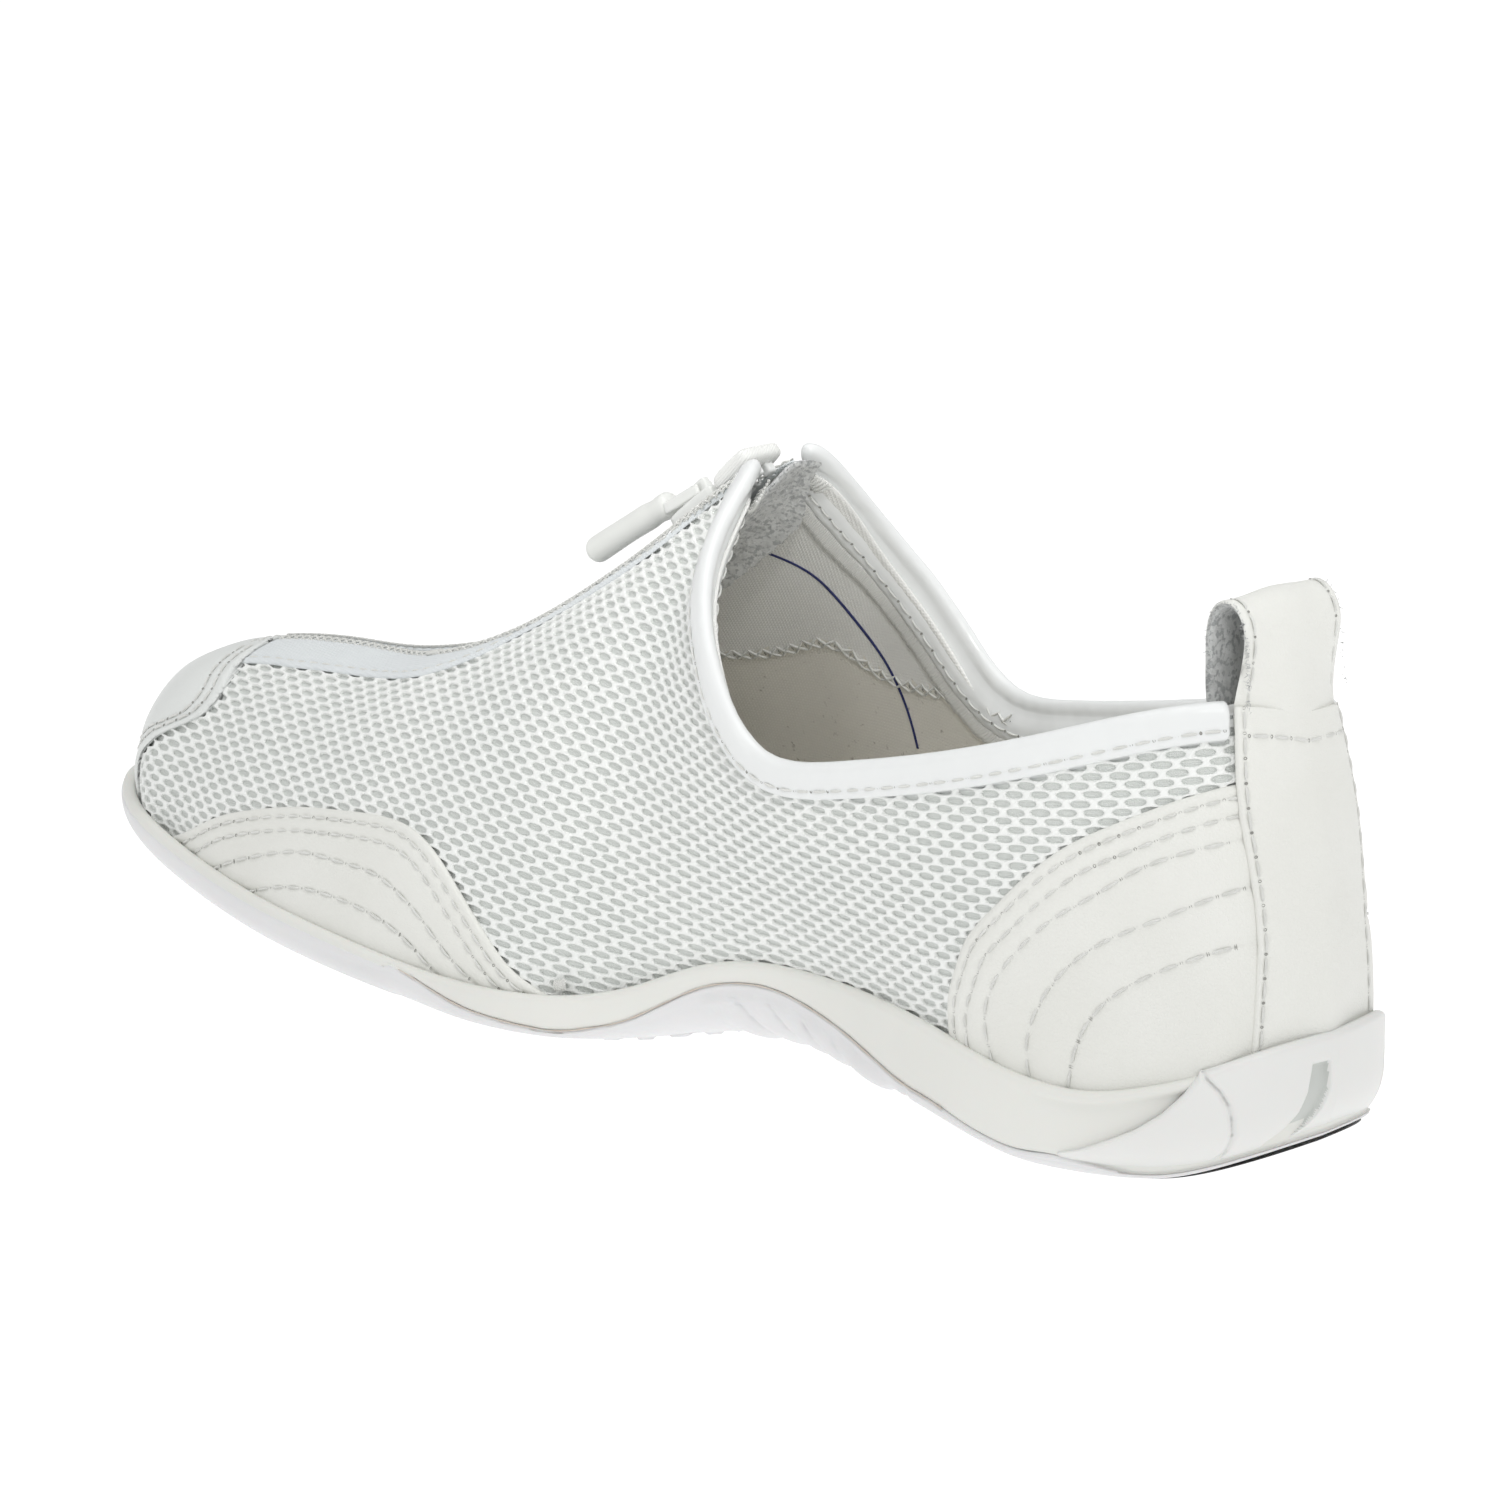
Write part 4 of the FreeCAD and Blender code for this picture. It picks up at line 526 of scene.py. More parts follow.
def unflat(side, X):
    G = FLAT[side]; n, m = G.shape[:2]; c = G[::4, ::4]; kd = KDTree(c.shape[0]*c.shape[1])
    for k, q in enumerate(c.reshape(-1, 2)): kd.insert((q[0], q[1], 0), k)
    kd.balance(); idx = np.array([kd.find((q[0], q[1], 0))[1] for q in X.tolist()])
    u = (idx//c.shape[1])/(c.shape[0]-1.0); v = (idx % c.shape[1])/(c.shape[1]-1.0)
    for _ in range(14):
        x, du, dv = bil(G, u, v); r = X-x; det = du[:, 0]*dv[:, 1]-du[:, 1]*dv[:, 0]; det = np.where(np.abs(det) < 1e-6, 1e-6, det)
        su = (r[:, 0]*dv[:, 1]-r[:, 1]*dv[:, 0])/det; sv = (du[:, 0]*r[:, 1]-du[:, 1]*r[:, 0])/det
        u = np.clip(u+np.clip(su, -0.03, 0.03), -0.01, 1.01); v = np.clip(v+np.clip(sv, -0.06, 0.06), -0.01, 1.01)
    return u, v, np.linalg.norm(X-bil(G, u, v)[0], axis=1)

# ------------------------------------------------------------------ traced lines of the upper, as (u, v)
HEO = [(0.030,0.779),(0.0575,0.775),(0.07,0.769),(0.10,0.75),(0.1275,0.725),(0.155,0.6875),(0.1775,0.625),(0.1975,0.5438),(0.2125,0.4688),(0.2225,0.375),(0.230,0.2812),(0.2335,0.18),(0.2335,0.08),(0.232,0.0)]
HE1 = [(0.05,0.655),(0.065,0.65),(0.095,0.6375),(0.1225,0.6125),(0.145,0.5687),(0.165,0.525),(0.1875,0.4375),(0.205,0.3188),(0.21,0.2),(0.2075,0.0688)]
HE2 = [(0.045,0.558),(0.0875,0.5312),(0.12,0.50),(0.145,0.4625),(0.165,0.40),(0.1825,0.2875),(0.19,0.1688),(0.19,0.0688)]
HE3 = [(0.045,0.44),(0.0575,0.4375),(0.095,0.4188),(0.1275,0.3813),(0.15,0.3188),(0.165,0.2125),(0.1725,0.0563)]
FFO = [(0.89,0.0),(0.88,0.03),(0.85,0.1188),(0.8175,0.225),(0.78,0.3063),(0.7425,0.3563),(0.70,0.375),(0.6575,0.3625),(0.625,0.3188),(0.5975,0.2563),(0.575,0.1938),(0.5475,0.1188),(0.5225,0.0625),(0.50,0.03),(0.478,0.0)]
FF1 = [(0.8225,0.01),(0.785,0.125),(0.75,0.20),(0.715,0.2438),(0.685,0.2438),(0.655,0.2313),(0.625,0.1875),(0.60,0.1313),(0.575,0.0625),(0.555,0.02)]
FF2 = [(0.7775,0.0188),(0.7425,0.1),(0.71,0.1438),(0.68,0.15),(0.6475,0.1313),(0.615,0.0875),(0.5875,0.0188)]
CAP = [(0.0,0.050),(0.1,0.0515),(0.1938,0.054),(0.2375,0.0555),(0.3438,0.070),(0.4188,0.0825),(0.4625,0.1025),(0.5188,0.1075),(0.5875,0.1075),(0.6938,0.0975),(0.7938,0.0925),(0.8875,0.0925),(0.9875,0.0885),(1.0,0.0885)]
CAPS = Spl([q[0] for q in CAP], [q[1] for q in CAP])
def cap_w(v):
    """half width of the toe cap, smoothed"""
    v = np.asarray(v, float); return sum(np.interp(np.clip(v+d, 0, 1), [q[0] for q in CAP], [q[1] for q in CAP]) for d in (-0.04, -0.02, 0, 0.02, 0.04))/5
BAND = [(0.50,0.90),(0.54,0.905),(0.60,0.915),(0.64,0.925),(0.6625,0.915),(0.68,0.872),(0.70,0.843),(0.7225,0.825),(0.7625,0.8125),(0.805,0.7875),(0.855,0.7563),(0.91,0.7625)]

M["lining2"] = mat("lower_lining_cloth", (0.85,0.83,0.765), 0.92, (0.79,0.77,0.70), cs=24, uv=True, weave=(1.5, 1.5, 0.09), bumps=[("noise", 1000, 0.06)], speck=(700, (0.46,0.43,0.38), 0.66, 0.78))
SEAM = [(0.0,0.93),(0.25,0.93),(0.3175,0.905),(0.355,0.83),(0.3875,0.705),(0.4225,0.615),(0.4725,0.555),(0.5225,0.54),(0.5625,0.585),(0.595,0.635),(0.64,0.70),(1.0,0.80)]

# ------------------------------------------------------------------ open mesh with real holes
OUTER = np.array([(2.3,0),(2.3,.5),(1.15,.7),(0,.9),(-1.15,.7),(-2.3,.5),(-2.3,0),(-2.3,-.5),(-1.15,-.7),(0,-.9),(1.15,-.7),(2.3,-.5)])
HOLE = np.array([(1.72,0),(1.5,.34),(1.0,.53),(0,.60),(-1.0,.53),(-1.5,.34),(-1.72,0),(-1.5,-.34),(-1.0,-.53),(0,-.60),(1.0,-.53),(1.5,-.34)])
rng = np.random.default_rng(11)
vt_mesh = {s: vtop_tab(s, -1.75, extra=lambda u: lin([(0.0,0.03),(0.49,0.03),(0.52,0.02),(0.56,0.0)])(u)) for s in (1, -1)}
def knit(side, nm):
    G = FLAT[side]; lo, hi = G.reshape(-1, 2).min(0), G.reshape(-1, 2).max(0); px, py = 4.6, 1.4
    jj = np.arange(int(lo[1]/py)-1, int(hi[1]/py)+2); ii = np.arange(int(lo[0]/px)-1, int(hi[0]/px)+2)
    J, I = np.meshgrid(jj, ii, indexing="ij"); C = np.stack([I*px+(J % 2)*px/2, J*py], -1).reshape(-1, 2)
    u, v, res = unflat(side, C)
    vt = vt_mesh[side](u)
    ok = (res < 0.3) & (u > 0.006) & (u < 0.994) & (v > 0.012) & (v < vt-0.006)
    hid = (u < 0.232) & (v < np.interp(u, [q[0] for q in HEO], [q[1] for q in HEO])-0.12) | (u < 0.03)
    hid |= (u > 0.50) & (u < 0.87) & (v < np.interp(u, [q[0] for q in FFO[::-1]], [q[1] for q in FFO[::-1]])-0.12)
    hid |= (u > 1-cap_w(v)+0.028)
    hid |= (u > 0.68) & (v > np.interp(u, [q[0] for q in BAND], [q[1] for q in BAND])+0.07)
    C = C[ok & ~hid]; nc = len(C)
    jit = 1+rng.normal(0, 0.03, (nc, 1, 1)); sh = rng.normal(0, 0.035, (nc, 1, 2))
    ro = C[:, None]+OUTER[None]; rh = C[:, None]+HOLE[None]*jit+sh
    rm = ro*0.42+rh*0.58; rb = C[:, None]+HOLE[None]*jit*1.03+sh
    key = np.round(ro.reshape(-1, 2)*20).astype(np.int64); uq, inv = np.unique(key, axis=0, return_inverse=True); inv = inv.reshape(nc, 12)
    first = np.zeros(len(uq), int); first[inv.ravel()[::-1]] = np.arange(nc*12)[::-1]; xo = ro.reshape(-1, 2)[first]; no = len(xo)
    X = np.concatenate([xo, rm.reshape(-1, 2), rh.reshape(-1, 2), rb.reshape(-1, 2)])
    u, v, res = unflat(side, X)
    off = np.concatenate([np.full(no, -0.90), np.full(nc*12, -0.88), np.full(nc*12, -1.12), np.full(nc*12, -1.64)])
    V = PT(side, np.clip(u, 0, 1), np.clip(v, 0, 1), off)
    a = inv; b = no+np.arange(nc*12).reshape(nc, 12); c = b+nc*12; d = c+nc*12
    r = lambda x: np.roll(x, -1, axis=1)
    F = [np.stack([p, r(p), r(q), q], -1).reshape(-1, 4) for p, q in ((a, b), (b, c), (c, d))]
    if side > 0: F = [f[:, ::-1] for f in F]
    o = mesh("mesh_fabric_"+nm, V, F, M["knit"], slot="mesh", rep=["mesh_quarter_"+nm], uv=X, recalc=False)
    area = nc*px*py*1e-6
    w, h = (hi-lo)/1000.0
    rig.sheet(o, flat=(round(float(w), 3), round(float(h), 3)), held="stretched", rests_on=["mesh_backing_"+nm], area=round(max(area, 0.301*w*h), 5))
    return nc
def skin_sheet(name, side, u0, u1, v0, vt, o_out, o_in, nu, nv, m, slot=None, rep=(), **kw):
    u = np.linspace(u0, u1, nu)[:, None]; a = np.broadcast_to(v0(u) if callable(v0) else v0, u.shape); b = vt(u)
    t = np.linspace(0, 1, nv)[None]; U = np.broadcast_to(u, (nu, nv)); V = a+(b-a)*t
    uvc = flat_xy(side, U, V).reshape(-1, 2)
    A = PT(side, U, V, o_out)
    if o_in is None:
        f = gfaces(nu, nv); f = f[:, ::-1] if side > 0 else f
        return mesh(name, A.reshape(-1, 3), f, m, slot=slot, rep=rep, uv=uvc, recalc=False, **kw)
    v, F = shell(A, PT(side, U, V, o_in))
    return mesh(name, v, F, m, slot=slot, rep=rep, uv=np.concatenate([uvc, uvc]), **kw)
for side, nm in ((1, "medial"), (-1, "lateral")):
    n = knit(side, nm); print("mesh cells", nm, n)
    o = skin_sheet("mesh_backing_"+nm, side, 0.003, 0.997, 0.0, vt_mesh[side], -1.58, None, 200, 44, M["back"])
    g = FLAT[side].reshape(-1, 2); w, h = (g.max(0)-g.min(0))/1000.0
    area = sum(p.area for p in o.data.polygons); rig.sheet(o, flat=(round(float(w), 3), round(float(h), 3)), held="stretched", rests_on=["lining_cloth_"+nm], area=round(max(area, 0.301*w*h), 5))
    vl = vtop_tab(side, -3.5)
    cu = (np.linspace(0.003, 0.997, 200)[:-1]+np.linspace(0.003, 0.997, 200)[1:])[:, None]/2; cv = (np.arange(43)[None]+0.5)/43*vl(cu); low_ = (cv < np.interp(cu, [q[0] for q in SEAM], [q[1] for q in SEAM])).ravel().astype(int)
    nfm = np.zeros(2*199*43+2*199+2*43, int); nfm[:199*43] = low_; nfm[199*43:2*199*43] = low_
    o = skin_sheet("lining_cloth_"+nm, side, 0.003, 0.997, 0.0, vl, -2.95, -3.5, 200, 44, [M["lining"], M["lining2"]], slot="lining", rep=["lining_"+nm], fm=nfm)
    ln = uvline([q for q in SEAM if 0.30 < q[0] < 0.66]); Pn, Nn = on_skin(side, ln, -3.5), -NR(side, ln[:, 0], ln[:, 1])
    stitch("lining_seam_"+nm, Pn, Nn, pitch=3.2, gap=-0.2, r=0.3, lift=0.05, slant=2.4, hole=0.35, tick=0.35); stitch("lining_seam_"+nm, Pn, Nn, pitch=3.2, gap=-0.2, r=0.27, lift=0.1, slant=-2.4, hole=0)
    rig.sheet(o, flat=(round(float(w), 3), round(float(h), 3)), held="stretched", rests_on=["mesh_backing_"+nm], area=round(max(area, 0.301*w*h), 5))
    # padding behind the collar, crowned between its edges
    nu, nv = 120, 16; u = np.linspace(0.10, 0.44, nu)[:, None]; t = np.linspace(0, 1, nv)[None]
    a = np.interp(u, [0.10,0.19,0.24,0.30,0.44], [0.725,0.725,0.64,0.60,0.72]); b = vtop_tab(side, -2.85)(u)
    U = np.broadcast_to(u, (nu, nv)); V = a+(b-a)*t; cr = np.sqrt(np.clip(np.minimum(t, 1-t)*np.minimum(1, 8*np.minimum((U-0.10)/0.34, (0.44-U)/0.34))*4, 0, 1))*0.40
    v, F = shell(PT(side, U, V, -2.32+cr), PT(side, U, V, -2.32-cr-0.02)); o = mesh("collar_padding_"+nm, v, F, M["foam"], slot="foam", rep=["collar_foam_"+nm]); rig.padded(o, fill=0.9)

# ------------------------------------------------------------------ leather panels
def panel(name, side, U, V, free, lines, m, slot, rep, o_top=0.0, o_in=-0.95, depth=0.26, puff=0.22, edge_r=0.6, amp=0.07, raise_=None, seed=0):
    """a leather piece on the skin; free: its cut edges, lines: its rows of stitching (3-D lines)"""
    P = PT(side, U, V, 0.0); sh = U.shape; q = P.reshape(-1, 3)
    off = np.full(len(q), o_top, float)+wob(q, amp, 0.045, seed)
    if lines:
        d = np.min([seg_dist(q, L)[0] for L in lines], axis=0)
        off += -depth*np.exp(-(d/0.55)**2)+puff*(1-np.exp(-(d/2.4)**2))
    e = np.min([seg_dist(q, L)[0] for L in free], axis=0)
    off -= edge_r*(1-np.sqrt(1-np.clip(1-e/(edge_r*1.3), 0, 1)**2))
    off = np.where(e < 2.0, off-(puff*0.8)*(1-e/2.0), off)
    off = off.reshape(sh)
    if raise_ is not None: off = off+raise_
    A = PT(side, U, V, off); B = PT(side, U, V, np.minimum(o_in, off-0.12))
    v, F = shell(A, B); return mesh(name, v, F, m, slot=slot, rep=rep)
def inset_line(side, line, mm, flip=1):
    """a line on the skin mm away from another, towards flip"""
    P = on_skin(side, line); N = NR(side, line[:, 0], line[:, 1]); T = nz(np.gradient(P, axis=0)); W = nz(np.cross(N, T))*flip
    e = 1e-3; u, v = line[:, 0], line[:, 1]
    Pu = (P0(side, np.minimum(u+e, 1), v)-P0(side, np.maximum(u-e, 0), v))/(np.minimum(u+e, 1)-np.maximum(u-e, 0))[:, None]
    Pv = (P0(side, u, np.minimum(v+e, 1))-P0(side, u, np.maximum(v-e, 0)))/(np.minimum(v+e, 1)-np.maximum(v-e, 0))[:, None]
    a, b, c = (Pu*Pu).sum(1), (Pu*Pv).sum(1), (Pv*Pv).sum(1); r1, r2 = (Pu*W).sum(1)*mm, (Pv*W).sum(1)*mm; det = a*c-b*b
    return np.stack([u+(c*r1-b*r2)/det, v+(a*r2-b*r1)/det], 1)
def inward(side, line, mm, mid):
    """the offset line on the side of the (u, v) point mid"""
    A, B = inset_line(side, line, mm, 1), inset_line(side, line, mm, -1); k = len(line)//2; w = np.array([4.0, 1.0])
    return A if np.linalg.norm((A[k]-mid)*w) < np.linalg.norm((B[k]-mid)*w) else B
def sew(group, side, line, off, a=0, b=0, **kw):
    line = line[(line[:, 1] >= -0.02) & (line[:, 0] >= 0) & (line[:, 0] <= 1)]; line = np.clip(line, 0, 1)
    P = on_skin(side, line, off); N = NR(side, line[:, 0], line[:, 1]); P, N = cut_len(P, N, a, b)
    if len(P) > 2: stitch(group, P, N, **kw)
for side, nm in ((1, "medial"), (-1, "lateral")):
    fl = side
    # heel panel
    E = uvline(HEO, 0.002); n_t = 210; E = resample(E*np.array([4.0, 1.0]), n=n_t, smooth=False)/np.array([4.0, 1.0])
    r = np.linspace(0, 1, 118)[None]; cen = np.array([0.028, 0.0]); pole = np.stack([np.full(n_t, cen[0]), np.zeros(n_t)], 1)
    U = E[:, :1]*(1-r)+pole[:, :1]*r; V = E[:, 1:]*(1-r)+pole[:, 1:]*r
    e1 = inward(side, E, 1.9, (0.05, 0.2)); e2 = inward(side, E, 4.6, (0.05, 0.2))
    L1, L2, L3 = uvline(HE1), uvline(HE2), uvline(HE3)
    panel("heel_panel_"+nm, side, U, V, [on_skin(side, E)], [on_skin(side, np.clip(x, 0, 1)) for x in (e1, e2, L1, L2, L3)], M["leather"], "leather", ["heel_overlay_"+nm], seed=1+side)
    for k, x in enumerate((e1, e2)): sew("heel_"+nm, side, x, -0.22, a=1.0, pitch=3.5, phase=k, tick=0.30, hole=0.55)
    for x in (L1, L2, L3): sew("heel_"+nm, side, x, -0.2, a=1.5, pitch=4.6, tick=0.85, hole=0.42)
    # forefoot panel
    E = uvline(FFO, 0.002); n_t = 250; E = resample(E*np.array([4.0, 1.0]), n=n_t, smooth=False)/np.array([4.0, 1.0])
    r = np.linspace(0, 1, 76)[None]; tt = np.linspace(0, 1, n_t); pole = np.stack([0.83-0.27*tt, np.zeros(n_t)], 1)
    U = E[:, :1]*(1-r)+pole[:, :1]*r; V = E[:, 1:]*(1-r)+pole[:, 1:]*r
    e1 = inward(side, E, 1.9, (0.70, 0.05)); e2 = inward(side, E, 4.5, (0.70, 0.05))
    L1, L2 = uvline(FF1), uvline(FF2)
    panel("forefoot_panel_"+nm, side, U, V, [on_skin(side, E)], [on_skin(side, np.clip(x, 0, 1)) for x in (e1, e2, L1, L2)], M["leather"], "leather", ["forefoot_overlay_"+nm], seed=3+side)
    for x in (e1, e2): sew("forefoot_"+nm, side, x, -0.22, a=2, b=2, pitch=3.6, tick=0.30, hole=0.55)
    for x in (L1, L2): sew("forefoot_"+nm, side, x, -0.2, a=1, b=1, pitch=4.4, tick=0.5, hole=0.34)
    # band beside the zip and the centre seam
    nu, nv = 260, 22; u = np.linspace(0.507, 0.905, nu)[:, None]; t = np.linspace(0, 1, nv)[None]
    lo_ = np.interp(u, [q[0] for q in BAND], [q[1] for q in BAND]); hi_ = np.maximum(vtop_tab(side, -1.0)(u)+0.003, lo_+0.02)
    U = np.broadcast_to(u, (nu, nv)); V = lo_+(hi_-lo_)*t; P = PT(side, U, V, 0.0); q = P.reshape(-1, 3)
    El = P[:, 0]; Et = P[:, -1]; dl = seg_dist(q, El)[0].reshape(U.shape); dt = seg_dist(q, Et)[0].reshape(U.shape)
    off = -0.25-0.5*np.exp(-(dl/0.5)**2)-0.35*np.exp(-(dt/0.5)**2)-0.22*np.exp(-((dl-1.5)/0.4)**2)+wob(P, 0.06, 0.05, 5)
    v, F = shell(PT(side, U, V, off), PT(side, U, V, np.minimum(-0.95, off-0.1))); uvc = flat_xy(side, U, V).reshape(-1, 2)
    mesh("zip_band_"+nm+"_knit", v, F, M["fine"], slot="webbing", rep=["zip_band_"+nm], uv=np.concatenate([uvc, uvc]))
    lw = np.stack([u[:, 0], lo_[:, 0]], 1); Pn = on_skin(side, lw); Nn = NR(side, lw[:, 0], lw[:, 1])
    W = nz(P[:, -1]-P[:, 0]); stitch("band_"+nm, Pn+W*1.4, Nn, pitch=3.3, lift=-0.35, r=0.24, tick=0.2, hole=0.32)
    # overlocked edge along the zip
    k0, k1 = (u[:, 0] >= 0.507), (u[:, 0] >= 0.507)
    stitch("overlock_"+nm, P[:, -1][k0]-W[k0]*0.9, Nn[k0], pitch=1.9, gap=-0.5, r=0.27, lift=-0.08, hole=0, slant=1.6)
    stitch("overlock_"+nm, P[:, -1][k0]-W[k0]*1.0, Nn[k0], pitch=1.9, gap=-0.5, r=0.24, lift=-0.02, hole=0, slant=-1.4)

# ------------------------------------------------------------------ toe cap: both halves in one skin
def halves(uvf, off_fn, nt, nr):
    out = []
    for side in (1, -1):
        U, V = uvf(side); out.append((side, U, V))
    return out
nt, nr = 112, 64
vv = np.linspace(0.0, 1.0, nt)[:, None]; rr = np.linspace(0, 1, nr)[None]
Vt, Ft, Vi = [], [], []; base = 0; tops = []; capE = {}
for side in (1, -1):
    cw = cap_w(vv); U = 1-cw*(1-rr); V = np.broadcast_to(vv, U.shape)
    E = np.stack([1-cap_w(vv[:, 0]), vv[:, 0]], 1); capE[side] = E
    s1 = np.stack([1-cap_w(vv[:, 0])+0.0085, vv[:, 0]], 1); s2 = np.stack([1-cap_w(vv[:, 0])+0.0165, vv[:, 0]], 1)
    P = PT(side, U, V, 0.0); q = P.reshape(-1, 3); e = seg_dist(q, on_skin(side, E))[0]; d = np.minimum(seg_dist(q, on_skin(side, s1))[0], seg_dist(q, on_skin(side, s2))[0])
    off = wob(q, 0.10, 0.05, 9)-0.26*np.exp(-(d/0.55)**2)+0.2*(1-np.exp(-(d/2.4)**2))-0.6*(1-np.sqrt(1-np.clip(1-e/0.8, 0, 1)**2))
    tops.append((PT(side, U, V, off.reshape(U.shape)), PT(side, U, V, np.minimum(-0.9, off.reshape(U.shape)-0.12))))
    for s_, ph in ((s1, 0), (s2, 1)): sew("toe", side, s_, -0.2, a=1.0, pitch=3.2, tick=0.3, hole=0.5)
def two_sided(tops, k):
    vs = np.concatenate([t[k].reshape(-1, 3) for t in tops]); f1 = gfaces(nt, nr); f2 = gfaces(nt, nr, base=nt*nr)[:, ::-1]
    # the top ridge and the toe centre line are shared by both halves
    for g in (0, 1):
        pass
    a = vs.reshape(2, nt, nr, 3); m = 0.5*(a[0, -1]+a[1, -1]); m[:, 1] = 0.5*(a[0, -1, :, 1]+a[1, -1, :, 1]); a[0, -1] = m; a[1, -1] = m
    m = 0.5*(a[0, :, -1]+a[1, :, -1]); a[0, :, -1] = m; a[1, :, -1] = m
    vs = a.reshape(-1, 3); key = np.round(vs*200).astype(np.int64); uq, first, inv = np.unique(key, axis=0, return_index=True, return_inverse=True); inv = inv.ravel()
    F = np.concatenate([f1, f2]); F = inv[F]; vs = vs[first]
    w = np.clip(1-np.abs(vs[:, 1])/5.0, 0, 1)*np.clip((vs[:, 2]-20)/8, 0, 1)*0.6
    vs = relax(vs, [F], w, 22)
    return vs, F
VA, FA = two_sided(tops, 0); VB, FB = two_sided(tops, 1)
def skin_body(name, VA, FA, VB, FB, m, slot, rep):
    """the open boundary edges of a welded skin, for the walls of a closed body between an outer and an inner skin of
    the same layout
    """
    n = len(VA); E = np.concatenate([FA[:, [i, (i+1) % 4]] for i in range(4)]); key = np.sort(E, axis=1); uq, inv, cnt = np.unique(key, axis=0, return_inverse=True, return_counts=True)
    b = E[cnt[inv.ravel()] == 1]; b = b[b[:, 0] != b[:, 1]]
    return b
v = np.concatenate([VA, VB]); F = [FA, FB+len(VA)]
if len(VA) == len(VB):
    b = skin_body("", VA, FA, VB, FB, None, None, None); F.append(np.stack([b[:, 0], b[:, 0]+len(VA), b[:, 1]+len(VA), b[:, 1]], -1))
def clean(F):
    out = []
    for f in np.concatenate(F).tolist():
        g = [x for i, x in enumerate(f) if x != f[i-1]]
        if len(set(g)) >= 3 and len(set(g)) == len(g): out.append(g)
    return out
CF = clean(F)
me_t = [np.array([f for f in CF if len(f) == 4])] + ([np.array([f for f in CF if len(f) == 3])] if any(len(f) == 3 for f in CF) else [])
mesh("toe_cap_leather", v, me_t, M["toe"], slot="toe_leather", rep=["toe_cap"])

# ------------------------------------------------------------------ collar binding: flange, roll over the top edge, inner flange
def walk(side, u, v, dirn, dist, step=0.5):
    """a path on the skin from (u, v), square to the collar line; dirn -1 goes down"""
    U = [u.copy()]; V = [v.copy()]
    for _ in range(int(dist/step)):
        e = 1e-3; uu, vv_ = U[-1], V[-1]
        Pu = (P0(side, np.minimum(uu+e, 1), vv_)-P0(side, np.maximum(uu-e, 0), vv_))/(np.minimum(uu+e, 1)-np.maximum(uu-e, 0))[:, None]
        Pv = (P0(side, uu, np.minimum(vv_+e, 1))-P0(side, uu, np.maximum(vv_-e, 0)))/(np.minimum(vv_+e, 1)-np.maximum(vv_-e, 0))[:, None]
        n = nz(np.cross(Pu, Pv)); T = nz(np.gradient(P0(side, u, v), axis=0)); W = nz(np.cross(n, T)); W *= np.sign((W*Pv).sum(1))[:, None]*dirn
        a, b, c = (Pu*Pu).sum(1), (Pu*Pv).sum(1), (Pv*Pv).sum(1); r1, r2 = (Pu*W).sum(1)*step, (Pv*W).sum(1)*step; det = np.maximum(a*c-b*b, 1e-6)
        U.append(np.clip(uu+(c*r1-b*r2)/det, 0, 1)); V.append(np.clip(vv_+(a*r2-b*r1)/det, 0, 1))
    k = np.ones(5)/5
    U = [np.convolve(np.pad(x, 2, mode="edge"), k, "valid") for x in U]; V = [np.convolve(np.pad(x, 2, mode="edge"), k, "valid") for x in V]
    return np.array(U), np.array(V)
COLL = {}
